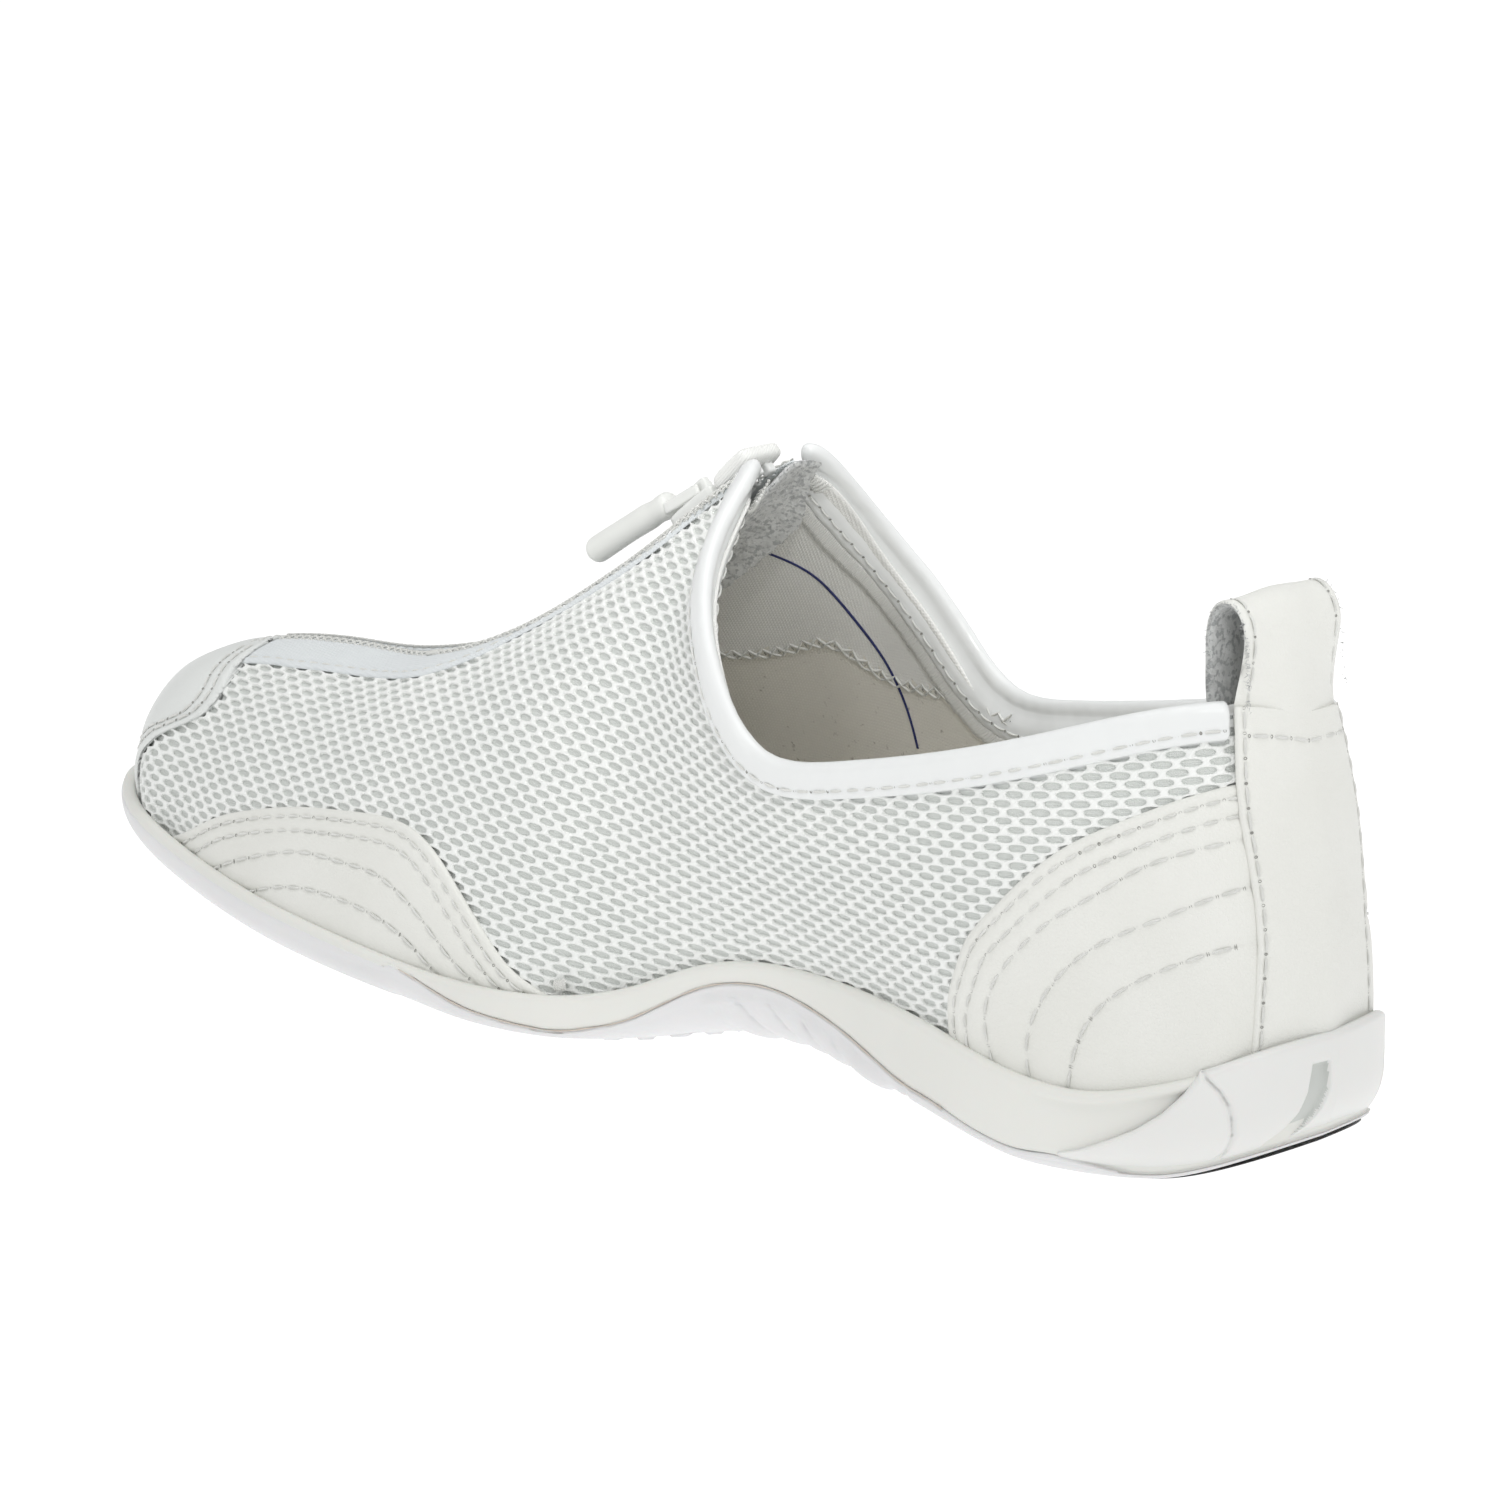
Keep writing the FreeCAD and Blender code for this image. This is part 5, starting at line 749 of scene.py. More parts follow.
for side, nm in ((1, "medial"), (-1, "lateral")):
    u0 = np.linspace(0.058, 0.5015, 330); v0 = np.ones(len(u0)); st = 0.5; WU, WV = walk(side, u0, v0, -1, 9.0, st)
    width = np.interp(u0, [0.058, 0.12, 0.22, 0.30, 0.36, 0.42, 0.46, 0.5015], [5.2, 5.4, 5.4, 5.2, 5.6, 5.9, 5.0, 3.2]) if side > 0 else np.interp(u0, [0.058, 0.3, 0.42, 0.46, 0.5015], [5.2, 5.3, 5.8, 5.0, 3.2])
    def at(dist, off):
        k = np.clip(dist/st, 0, len(WU)-1.001); i = k.astype(int); f = k-i; c = np.arange(len(u0))
        return PT(side, WU[i, c]*(1-f)+WU[i+1, c]*f, WV[i, c]*(1-f)+WV[i+1, c]*f, off)
    one = np.ones(len(u0)); prof = []
    # outer flange, from its cut edge up
    for d, o in ((0.0, -0.86), (0.0, -0.1), (0.12, 0.32), (0.45, 0.58), (1.0, 0.66), (1.45, 0.50), (1.9, 0.66), (2.6, 0.86)):
        prof.append(at(width-d, one*o))
    # roll over the top edge: half circle between the outer and inner faces
    N = NR(side, u0, v0); T = nz(np.gradient(P0(side, u0, v0), axis=0)); Up = nz(np.cross(N, T)); Up *= np.sign((Up*(at(one*0, one*0)-at(one*2, one*0))).sum(1))[:, None]
    C = at(one*1.2, one*-0.66); swell = (1+0.35*sm(u0, 0.465, 0.495))[:, None]
    for a in np.linspace(-8, 188, 17):
        r = math.radians(a); prof.append(C+N*(1.45*math.cos(r))*(1 if math.cos(r) > 0 else swell)+Up*(2.0*math.sin(r))*swell)
    for d, o in ((1.7, -2.2), (2.6, -2.75), (3.6, -3.5), (4.6, -3.98), (5.3, -4.02), (5.9, -4.3), (6.6, -4.24), (7.0, -4.0), (7.05, -3.55)):
        prof.append(at(one*d, one*o))
    A = np.array(prof).transpose(1, 0, 2)
    # ends close to a rounded tip
    for end, k in ((0, range(0, 4)), (1, range(0, 6))):
        for i in k:
            j = i if end == 0 else len(A)-1-i; s_ = math.sqrt(max(0.0, 1-(1-(i+0.35)/len(k))**2))
            c = A[j].mean(0); A[j] = c+(A[j]-c)*s_
    q = A.reshape(-1, 3); w_ = wob(q, 0.10, 0.13, 4)+0.05*np.sin(q[:, 0]*1.9)*np.cos(q[:, 2]*1.3); q = q+np.repeat(N, A.shape[1], axis=0)*w_[:, None]; A = q.reshape(A.shape)
    n, m_ = A.shape[:2]; F = [gfaces(n, m_, cj=True)]
    v = np.concatenate([q, A[0].mean(0)[None], A[-1].mean(0)[None]]); k = len(v)
    F.append(np.array([[k-2, (j+1) % m_, j] for j in range(m_)])); F.append(np.array([[k-1, (n-1)*m_+j, (n-1)*m_+(j+1) % m_] for j in range(m_)]))
    mesh("collar_binding_roll_"+nm, v, F, M["binding"], slot="binding", rep=["collar_binding_"+nm])
    ln = at(width-1.45, one*0.0); stitch("collar_"+nm, ln[4:-5], N[4:-5], pitch=3.6, gap=0.8, r=0.24, lift=0.52, tick=0.3, hole=0.5)
    li = at(one*5.3, one*-4.1); stitch("collar_in_"+nm, li[4:-8], -N[4:-8], pitch=3.4, gap=0.7, r=0.22, lift=0.12, tick=0.28, hole=0.45)
    # facing strip below the inner flange
    prof = [at(one*7.0, one*-3.45), at(one*7.0, one*-3.95), at(one*7.6, one*-4.02), at(one*8.6, one*-3.98)]
    w2 = 10.2+0.10*np.sin(u0*400)+0.12*np.sin(u0*1130)
    WU2, WV2 = walk(side, u0, v0, -1, 12.0, st)
    WU, WV = WU2, WV2
    prof = [at(one*6.3, one*-3.52), at(one*6.3, one*-3.95), at(one*7.6, one*-4.02), at(one*9.2, one*-3.98), at(w2, one*-3.85), at(w2+0.1, one*-3.52)]
    A2 = np.array(prof).transpose(1, 0, 2)[6:-14]; v, F = A2.reshape(-1, 3), [gfaces(A2.shape[0], A2.shape[1], cj=True)]
    v = np.concatenate([v, A2[0].mean(0)[None], A2[-1].mean(0)[None]]); k = len(v); mm_ = A2.shape[1]; nn_ = A2.shape[0]
    F.append(np.array([[k-2, (j+1) % mm_, j] for j in range(mm_)])); F.append(np.array([[k-1, (nn_-1)*mm_+j, (nn_-1)*mm_+(j+1) % mm_] for j in range(mm_)]))
    mesh("collar_facing_"+nm, v, F, M["facing"])
    COLL[side] = (at, u0, N)
    # bar tack at the front end of the binding
    c = at(one*2.6, one*-4.3)[-16]; T_ = T[-16]; Nn = -N[-16]; Bn = nz(np.cross(Nn, T_))
    for k in range(7):
        a = c+T_*(-2.6+0.85*k); Lp = np.array([a-Bn*1.7, a-Bn*0.8+Nn*0.35+T_*0.2, a+Bn*0.8+Nn*0.35+T_*0.25, a+Bn*1.7+T_*0.45])
        v, F = tube(resample(Lp, n=8), np.broadcast_to(Nn, (8, 3)), 0.27, 6); TACKS = globals().setdefault("TACKS", []); TACKS.append((v, F))

# ------------------------------------------------------------------ heel strip and folded pull loop
def strip_w(v): return np.interp(v, [0, .2125, .4375, .525, .62, .70, .7875, 1], [.0435, .045, .0425, .045, .05, .0545, .0565, .0565])
nv_, nu_ = 150, 84; V = np.linspace(0.19, 0.995, nv_)[:, None]; t = np.linspace(-1, 1, nu_)[None]
def both(tt, V, off):
    """points right round the heel: tt -1 outer side .. 1 inner side"""
    U = np.abs(tt)*strip_w(V); Vb = np.broadcast_to(V, U.shape)
    a = PT(1, U, Vb, off); b = PT(-1, U, Vb, off); return np.where((tt > 0)[..., None], a, np.where((tt < 0)[..., None], b, 0.5*(a+b)))
tt = np.broadcast_to(t, (nv_, nu_)); S0 = both(tt, V, 0.0)
sL = [both(np.full((nv_, 1), s_*0.90), V, 0.0)[:, 0] for s_ in (1, -1)]; edge = [both(np.full((nv_, 1), s_*1.0), V, 0.0)[:, 0] for s_ in (1, -1)]
q = S0.reshape(-1, 3); d = np.min([seg_dist(q, L)[0] for L in sL], axis=0); e = np.min([seg_dist(q, L)[0] for L in edge], axis=0)
vb = np.repeat(V[:, 0], nu_)
off = 0.95+wob(q, 0.10, 0.06, 8)-0.22*np.exp(-(d/0.6)**2)-0.55*(1-np.sqrt(1-np.clip(1-e/0.7, 0, 1)**2))+0.2*np.exp(-(d/2.5)**2)*0
off = off.reshape(tt.shape); SA, SB = both(tt, V, off), both(tt, V, np.minimum(0.02, off-0.3)); wr_ = (0.75*np.exp(-(tt/0.30)**2)*(np.abs(V-0.6) < 0.38)).reshape(-1)
SA, SB = [relax(g.reshape(-1, 3), [gfaces(nv_, nu_)], wr_, 60).reshape(g.shape) for g in (SA, SB)]
v, F = shell(SA, SB)
mesh("heel_strip", v, F, M["leather"], slot="leather", rep=["back_stay"])
for s_, L in zip((1, -1), sL):
    Nn = NR(s_, strip_w(V[:, 0])*0.9, V[:, 0]); stitch("strip", L[3:-1], Nn[3:-1], pitch=3.8, lift=0.78, r=0.26, tick=0.32, hole=0.5)
hz = both(np.linspace(-0.86, 0.86, 60)[None], np.array([[0.9]]), 0.0)[0]; hn = np.array([nz(np.array([-1.0, 0.35*y/12, 0.25])) for y in hz[:, 1]])
stitch("strip", hz, hn, pitch=3.8, lift=0.95, r=0.27, tick=0.32, hole=0.5)
# loop: a band folded over, thickness 1.2, slightly waisted, crowned
LP = resample(np.array([(5.05,69.6),(5.5,73.4),(6.1,78.5),(6.5,84),(7.4,88.6),(10.2,91.3),(13.1,90.5),(14.4,87.2),(14.2,82.5),(13.9,78.5),(13.2,74.4)]), n=76)
ys = np.linspace(-12.4, 12.4, 44); tl = np.linspace(0, 1, 76)[:, None]
ct = nz(np.gradient(LP, axis=0)); cn = np.stack([-ct[:, 1], ct[:, 0]], 1)
halfw = 12.3-0.5*np.sin(np.pi*tl)**2+0.12*np.sin(tl*19); Y = ys[None]/12.4*halfw
ed = np.clip((halfw-np.abs(Y))/0.8, 0, 1); rnd = 0.6*np.sqrt(1-(1-ed)**2)
sq = np.abs(np.abs(Y)-(halfw-1.7)); rnd_o = rnd-0.16*np.exp(-(sq/0.5)**2)
bulge = 0.25*np.sin(Y*0.35+3*tl)*np.sin(np.pi*tl)
bow = (Y/12.2)**2*(2.9*(1-sm(LP[:, 1][:, None], 73, 88))+0.35)*np.where(tl < 0.55, 1.0, 0.25)
def loop_pts(th):
    X = LP[:, 0][:, None]+cn[:, 0][:, None]*(th+bulge)+bow; Z = LP[:, 1][:, None]+cn[:, 1][:, None]*(th+bulge); return np.stack([X, Y, Z], -1)
v, F = shell(loop_pts(rnd_o), loop_pts(-rnd)); nf = len(gfaces(76, 44)); fm = np.zeros(sum(len(f) for f in F), int); fm[nf:2*nf] = 1
mesh("pull_loop_band", v, F, [M["leather"], M["suede"]], slot="webbing", rep=["pull_loop"], fm=fm)
for s_ in (1, -1):
    P = np.stack([LP[:, 0]+cn[:, 0]*0.5, (halfw[:, 0]-1.7)*s_, LP[:, 1]+cn[:, 1]*0.5], 1); N = np.stack([cn[:, 0], 0*cn[:, 0], cn[:, 1]], 1)
    P[:, 0] += (bow[:, -1]*0.78); stitch("loop", P[8:44], N[8:44], pitch=3.8, lift=-0.12, r=0.25, tick=0.3, hole=0.45)
# loose fibres on the cut faces of the loop
F_ = []
for k in range(260):
    i = rng.integers(10, 70); s_ = 1 if rng.random() < 0.75 else -1; y = halfw[i, 0]*s_; th = rng.uniform(-0.55, 0.1)
    p = np.array([LP[i, 0]+cn[i, 0]*th, y-0.1*s_, LP[i, 1]+cn[i, 1]*th]); dd = nz(np.array([rng.normal(0, .6), s_*1.0, rng.normal(0, .6)]))*rng.uniform(0.3, 0.8)
    L = np.array([p, p+dd*0.5+rng.normal(0, .05, 3), p+dd+rng.normal(0, .12, 3)]); F_.append(tube(L, np.broadcast_to(nz(np.cross(dd, [0.3, 0.2, 1])), (3, 3)), [0.06, 0.05, 0.03], 4))
v, F = join(F_); mesh("loop_fibres", v, F, M["suede"])

# ------------------------------------------------------------------ zip
SC, AR = np.array([260.2, 254.0]), 211.0
def arc(x, y, r):
    """a point over the instep: x along, y across, r the offset from the zip's own arc"""
    x, y, r = np.broadcast_arrays(*(np.asarray(q, float) for q in (x, y, r))); R_ = AR+r; th = np.arccos(np.clip((SC[0]-x)/AR, -1, 1))
    return np.stack([SC[0]-R_*np.cos(th), y, SC[1]-R_*np.sin(th)], -1)
for s_, nm in ((1, "medial"), (-1, "lateral")):
    parts = []; n = 52; xs = np.linspace(120.4, 180.2, n)+(0.55 if s_ < 0 else 0)
    for x in xs:
        # a coil tooth: a bent wire out to the tape and back
        y = s_*np.array([0.42, 0.75, 1.3, 2.0, 2.3, 2.0, 1.3, 0.75, 0.42]); r = np.array([1.55, 1.05, 1.15, 1.2, 1.8, 2.45, 2.55, 2.6, 1.9]); xx = x+np.array([0, 0.05, -0.1, -0.1, 0, 0.1, 0.1, 0.0, 0])*2.4
        P = arc(xx, y, r); parts.append(tube(resample(P, n=13), np.broadcast_to([0.55, 0, 0.83], (13, 3)), 0.31, 6))
    v, F = join(parts); mesh("zip_coil_"+nm, v, F, M["coil"], slot="zip_coil", rep=["zip_chain_"+nm])
    nx, ny = 220, 12; x = np.linspace(119.6, 185.8, nx)[:, None]; y = np.linspace(2.42, 4.5, ny)[None]*s_
    rib = 0.05*np.sin(x*5.2)*np.cos(y*6)
    v, F = shell(arc(x+0*y, y+0*x, 1.98+rib+0.02*y*y), arc(x+0*y, y+0*x, 2.44+0*x*y)); mesh("zip_tape_cloth_"+nm, v, F, M["fine"], slot="webbing", rep=["zip_tape_"+nm])
    ln = arc(np.linspace(121, 184, 90), s_*3.1, 1.95); stitch("zip_tape", ln, np.stack([nz(np.array([SC[0]-0, 0, 0])*0+np.array([0.6, 0, 0.8]))]*90), pitch=2.6, r=0.17, gap=0.5, hole=0, lift=0.02)
def rbox(x0, x1, y0, y1, r0, r1, rad, nx=20, ny=14, f=arc, crown=0.0):
    """a pillow-edged block on the arc"""
    nr_ = 8; pts = []; a = np.linspace(0, 1, nx); 
    cx, cy, cz = (x0+x1)/2, (y0+y1)/2, (r0+r1)/2; hx, hy, hz_ = (x1-x0)/2, (y1-y0)/2, (r1-r0)/2
    bm = bmesh.new(); bmesh.ops.create_cube(bm, size=2.0); bmesh.ops.subdivide_edges(bm, edges=bm.edges[:], cuts=9, use_grid_fill=True)
    P = np.array([v.co[:] for v in bm.verts]); Fq = [[v.index for v in f_.verts] for f_ in bm.faces]; bm.free()
    H = np.array([hx, hy, hz_]); K = np.maximum(H-rad, 1e-3); Q = np.clip(np.sign(P)*np.minimum(1, np.abs(P)**0.8)*H, -K, K) if False else P*H
    inner = np.clip(Q, -K, K); D = Q-inner; l = np.linalg.norm(D, axis=1, keepdims=True); Q = np.where(l > 1e-9, inner+D/np.maximum(l, 1e-9)*np.minimum(rad, np.maximum(np.abs(D).max(1, keepdims=True), 1e-9)), Q)
    Q[:, 2] -= crown*(1-(Q[:, 0]/hx)**2)*(Q[:, 2] < 0)
    return f(Q[:, 0]+cx, Q[:, 1]+cy, Q[:, 2]+cz), [np.array(Fq)]
v, F = join([rbox(181.1, 184.1, -2.4, 2.4, 0.9, 2.9, 0.45)]); mesh("zip_stop_bottom", v, F, M["coil"], slot="zip_coil", rep=["zip_bottom_stop"])
v, F = join([rbox(117.7, 119.2, s_*1.5-0.9, s_*1.5+0.9, 0.9, 2.9, 0.4) for s_ in (1, -1)]); mesh("zip_stops_top", v, F, M["coil"], slot="zip_coil", rep=["zip_top_stops"])
# garage: a little folded tab over the top stops
v, F = rbox(116.4, 124.0, -4.5, 4.5, -1.9, 1.0, 1.25, crown=0.35)
mesh("zip_garage_tab", v, F, M["facing"], slot="leather", rep=["zip_garage"])
# guard behind the zip: suede strip with a ragged lower edge
nx, ny = 170, 80; x = np.linspace(112.6, 149.8, nx)[:, None]; yl = -8.6+4.4*(1-sm(x, 113, 124)); y = yl+(4.4-yl)*np.linspace(0, 1, ny)[None]
e = np.minimum(np.minimum(x-112.6, 149.8-x), np.minimum(4.4-y, y-yl+0.3+0.25*np.sin(x*2.1)+0.15*np.sin(x*5.3))); rd = 0.42*np.sqrt(np.clip(1-np.clip(1-e/0.45, 0, 1)**2, 0, 1))
rough = rng.normal(0, 0.06, (nx, ny)); dr_ = 0.055*y**2; v, F = shell(arc(x+0*y, y+0*x, 5.95-rd+rough+dr_), arc(x+0*y, y+0*x, 5.95+rd+rough[::-1]+dr_)); mesh("zip_guard_suede", v, F, M["suede"], slot="suede", rep=["zip_guard"])

# underlay: the cloth gusset that closes the slot behind and below the zip
nx, ny = 110, 30; x = np.linspace(151.0, 207.0, nx)[:, None]; y = np.linspace(-6.2, 6.2, ny)[None]; ru = 5.3-2.9*sm(x, 182.5, 193)+0.03*y**2+0.08*np.sin(x*0.8)
v, F = shell(arc(x+0*y, y+0*x, ru), arc(x+0*y, y+0*x, ru+0.55)); mesh("zip_underlay_cloth", v, F, M["lining"], slot="lining", uv=np.concatenate([np.stack([x+0*y, y+0*x], -1).reshape(-1, 2)]*2))

# slider, link and grip: bevelled castings and a soft moulded grip
def cadfinish(node, m, bevel=0.0, seg=3):
    o = frame["nodes"][node]
    o.data.materials.clear(); o.data.materials.append(m)
    for p in o.data.polygons: p.material_index = 0; p.use_smooth = True
    if bevel:
        b = o.modifiers.new("soft_edges", "BEVEL"); b.width = bevel/1000.0; b.segments = seg; b.limit_method = "ANGLE"; b.angle_limit = math.radians(40)
    w = o.modifiers.new("face_normals", "WEIGHTED_NORMAL"); w.keep_sharp = False
    return o
v, F = join([rbox(125.1, 134.1, -3.6, 3.6, -1.75, 0.55, 0.55, crown=0.25), rbox(125.3, 133.9, -3.2, 3.2, 3.1, 4.2, 0.4),
             rbox(131.2, 133.9, -0.3, 0.3, 0.4, 3.3, 0.1)] +
            [rbox(126.0, 133.2, s_*3.0-0.5, s_*3.0+0.5, -0.2, 1.6, 0.3) for s_ in (1, -1)])
mesh("slider_body", v, F, M["paint"], body="slider", rep=["zip_slider"])
th0 = math.radians(38.1); pvx = 129.6; PV = arc(pvx, 0, -3.3)
fw = np.array([math.cos(th0-math.radians(7)), 0, -math.sin(th0-math.radians(7))]); up = np.array([math.sin(th0-math.radians(7)), 0, math.cos(th0-math.radians(7))])
def along(a, y, h):
    a, y, h = np.broadcast_arrays(*(np.asarray(q, float) for q in (a, y, h))); return PV+a[..., None]*fw+y[..., None]*np.array([0, 1.0, 0])+h[..., None]*up
v, F = join([rbox(127.2, 131.8, -0.85, 0.85, -4.6, -1.6, 0.55)]); mesh("slider_lug", v, F, M["paint"], body="slider", rep=["zip_slider"])
L = []
for s_ in (1, -1):
    L.append(rbox(-1.9, 7.0, s_*1.75-0.45, s_*1.75+0.45, -0.95, 0.95, 0.4, f=along))
L.append(rbox(5.6, 20.0, -1.5, 1.5, -0.6, 0.6, 0.35, f=along)); a = np.linspace(-2.05, 2.05, 9)
P = along(0*a, a, 0*a); L.append(tube(P, np.broadcast_to(up, P.shape), 0.55, 12))
v, F = join(L); mesh("pull_link_cast", v, F, M["paint"], body="pull", rep=["pull_link"])
n, m_ = 72, 36; s = np.linspace(0, 1, n); x = 5.9+22.6*s; r = 2.35*np.sqrt(np.clip(1-np.clip(1-s/0.075, 0, 1)**2.2, 0, 1))*np.sqrt(np.clip(1-np.clip((s-0.91)/0.09, 0, 1)**2.2, 0, 1))
r = np.maximum(r, 0.06)*(1-0.10*np.exp(-((s-0.20)/0.07)**2)+0.02*np.sin(s*9)); a = np.linspace(0, 2*np.pi, m_, endpoint=False)
h = 0.7+0.16*np.sin(np.pi*s)
ring = along(x[:, None]+0*a, r[:, None]*np.cos(a)[None]*1.02, r[:, None]*np.sin(a)[None]*0.98+h[:, None])
v = np.concatenate([ring.reshape(-1, 3), along(x[:1], [0.0], h[:1]), along(x[-1:], [0.0], h[-1:])]); F = [gfaces(n, m_, cj=True)]; k = len(v)
F.append(np.array([[k-2, (j+1) % m_, j] for j in range(m_)])); F.append(np.array([[k-1, (n-1)*m_+j, (n-1)*m_+(j+1) % m_] for j in range(m_)]))
mesh("pull_grip_moulded", v, F, M["grip"], body="pull", slot="pull_rubber", rep=["pull_grip"])

# ------------------------------------------------------------------ inside: footbed, strobel seam, lasting line
def insole_rows(inset, n=150):
    """matching points on the inner and outer sides of the footbed outline"""
    x = np.linspace(OUT[1](0.0)[0]+inset+0.2, 272.8-inset-0.2, n); rows = []
    for side in (1, -1):
        p, _ = out_xy(side, np.linspace(0, 1, 700), inset); o_ = np.argsort(p[:, 0]); rows.append(np.interp(x, p[o_, 0], p[o_, 1]))
    return x, rows[0], rows[1]
def insole(name, inset, z1, z0, dome, m, slot, rep, rnd=0.8, nx=170, ny=60):
    t = 0.5-0.5*np.cos(np.linspace(0, np.pi, nx)); xa, ya, yb = insole_rows(inset, 600); x = xa[0]+(xa[-1]-xa[0])*t
    a, b = np.interp(x, xa, ya)[:, None], np.interp(x, xa, yb)[:, None]; end = np.sqrt(np.clip(np.minimum(t, 1-t)/0.015, 0, 1))[:, None]; mid = 0.5*(a+b)
    s = np.linspace(-1, 1, ny)[None]; Y = mid+(b-a)*0.5*s*end*0.999; X = x[:, None]+0*s; e = np.minimum(1, (1-np.abs(s))*15)*np.minimum(1, np.minimum(t, 1-t)[:, None]*60)
    rise = dome*(np.abs(s)**3)*np.exp(-((X-35)/60)**2)
    Zt = seat_z(X)+z1+rise-rnd*(1-np.sqrt(np.clip(1-(1-e)**2, 0, 1)))+0.15*np.sin(X*0.09)*np.cos(s*3); Zb = seat_z(X)+z0+0*Y
    v, F = shell(np.stack([X, Y, Zt], -1), np.stack([X, Y, np.minimum(Zb, Zt-0.2)], -1))
    uvc = np.stack([X, Y], -1).reshape(-1, 2); o = mesh(name, v, F, m, slot=slot, rep=rep, uv=np.concatenate([uvc, uvc])); return o
o = insole("footbed_top_cloth", 8.8, 6.4, 5.6, 0.0, M["foot"], "footbed_cloth", ["footbed_cover"]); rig.sheet(o, flat=(0.262, 0.075), held="laid", rests_on=["footbed_foam"], area=None if False else 0.0150)
o = insole("footbed_foam", 9.1, 5.55, 2.1, 0.0, M["foam"], "footbed_foam", ["footbed"], rnd=0.6)
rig.padded(o, fill=0.95)
for node, m_ in (("heel_cushion", M["foam"]), ("insole_board", M["board"]), ("shank", M["shank"]), ("heel_counter", M["stiff"]), ("toe_puff", M["stiff"])): cadfinish(node, m_)
for side in (1, -1):
    u = np.linspace(0.02, 0.98, 500); p, nn = out_xy(side, u, 7.2); z = seat_z(p[:, 0])+6.1
    P = np.concatenate([p, z[:, None]], 1); N = np.concatenate([-nn*0.6, np.full((len(u), 1), 0.8)], 1); stitch("strobel", P, nz(N), pitch=3.6, r=0.3, lift=0.1, slant=2.0, hole=0.4, tick=0.4)
    stitch("strobel", P, nz(N), pitch=3.6, r=0.28, lift=0.15, slant=-2.0, hole=0)
line = np.array([(.575, 1), (.565, .96), (.55, .87), (.535, .78), (.51, .69), (.485, .65), (.46, .64), (.435, .63), (.42, .58), (.41, .49)]); line = resample(line*np.array([4.0, 1.0]), n=60)/np.array([4.0, 1.0]); line[:, 1] = np.clip(line[:, 1], 0, 0.965)
P = PT(-1, line[:, 0], line[:, 1], -3.56); v, F = tube(P, NR(-1, line[:, 0], line[:, 1]), 0.33, 6, flat=0.25); mesh("lasting_guide_line", v, F, M["navy"])

# ------------------------------------------------------------------ sole unit
def xn(x, rows): return np.interp(x, [q[0] for q in rows], [q[1] for q in rows])
PL = [(-6,1.2),(6,1.8),(16,2.6),(22,3.4),(29.1,4.2),(35.1,3.6),(44.6,5.3),(53.2,7.6),(61.4,8.5),(71.1,11.4),(76.3,13.1),(86.6,15.6),(93.6,16.8),(100.3,16.5),(107.7,14.8),(112.4,12.3),(118.3,8.8),(124,5.6),(134.9,2.6),(144.2,3.0),(153.4,4.1),(160.2,6.1),(165.8,8.1),(170.8,9.1),(178,10.3)]
PLs = lambda x: sum(xn(x+d, PL) for d in (-3, -1.5, 0, 1.5, 3))/5
NS = 620
uu = [0.5-0.5*np.cos(np.linspace(0, np.pi, NS//2+1)) for _ in (0, 1)]
uo = np.linspace(0, 1, NS//2+1); uo = 0.55*uo+0.45*(0.5-0.5*np.cos(np.pi*uo))
def ring_at(inset):
    a, na = out_xy(1, uo, inset); b, nb = out_xy(-1, uo[::-1], inset); return np.concatenate([a[:-1], b[:-1]]), np.concatenate([na[:-1], nb[:-1]])
R0, RN = ring_at(0.0); NSr = len(R0)
k_ = np.ones(7)/7
RN = nz(np.stack([np.convolve(np.r_[RN[-3:, i], RN[:, i], RN[:3, i]], k_, "valid") for i in (0, 1)], 1))
SIDE = np.r_[np.ones(len(uo)-1), -np.ones(len(uo)-1)]; xs_ = R0[:, 0]
rimz, botz, seatz = rim_z(xs_), bot_z(xs_)+2.0*(1-sm(xs_, -3, 14)), seat_z(xs_)
BK = 1.15*(1-sm(xs_, 20, 40))
plz = np.where(xs_ > 171, rimz-1.0+0*xs_, PLs(xs_)); plz = np.clip(plz, botz+1.2, None); FULL = xs_ > 170.8
def wall(inset, z): return np.stack([R0[:, 0]-RN[:, 0]*inset, R0[:, 1]-RN[:, 1]*inset, z], -1)
def loft(name, rows, m, slot, rep, uvs=None):
    A = np.array(rows).transpose(1, 0, 2); n, q = A.shape[:2]; v, F = A.reshape(-1, 3), [gfaces(n, q, ci=True)]; return v, F
# the shoulder line: where the wall meets the rim, rounded 0.9 mm
H = np.clip(rimz-botz, 6, None)
def bulge(z, lo, hi): t = np.clip((z-lo)/np.maximum(hi-lo, 1e-3), 0, 1); return 0.55*np.sin(np.pi*t)
# inside lip and cup
inner = [wall(2.9, np.maximum(rimz-5.0, seatz+0.6)), wall(2.75, rimz-2.4), wall(2.5, rimz-0.75)]
lip = [wall(2.3, rimz-0.22), wall(1.9, rimz), wall(1.2, rimz+0.02), wall(0.6, rimz-0.16), wall(0.22, rimz-0.5), wall(0.06, rimz-1.05)]
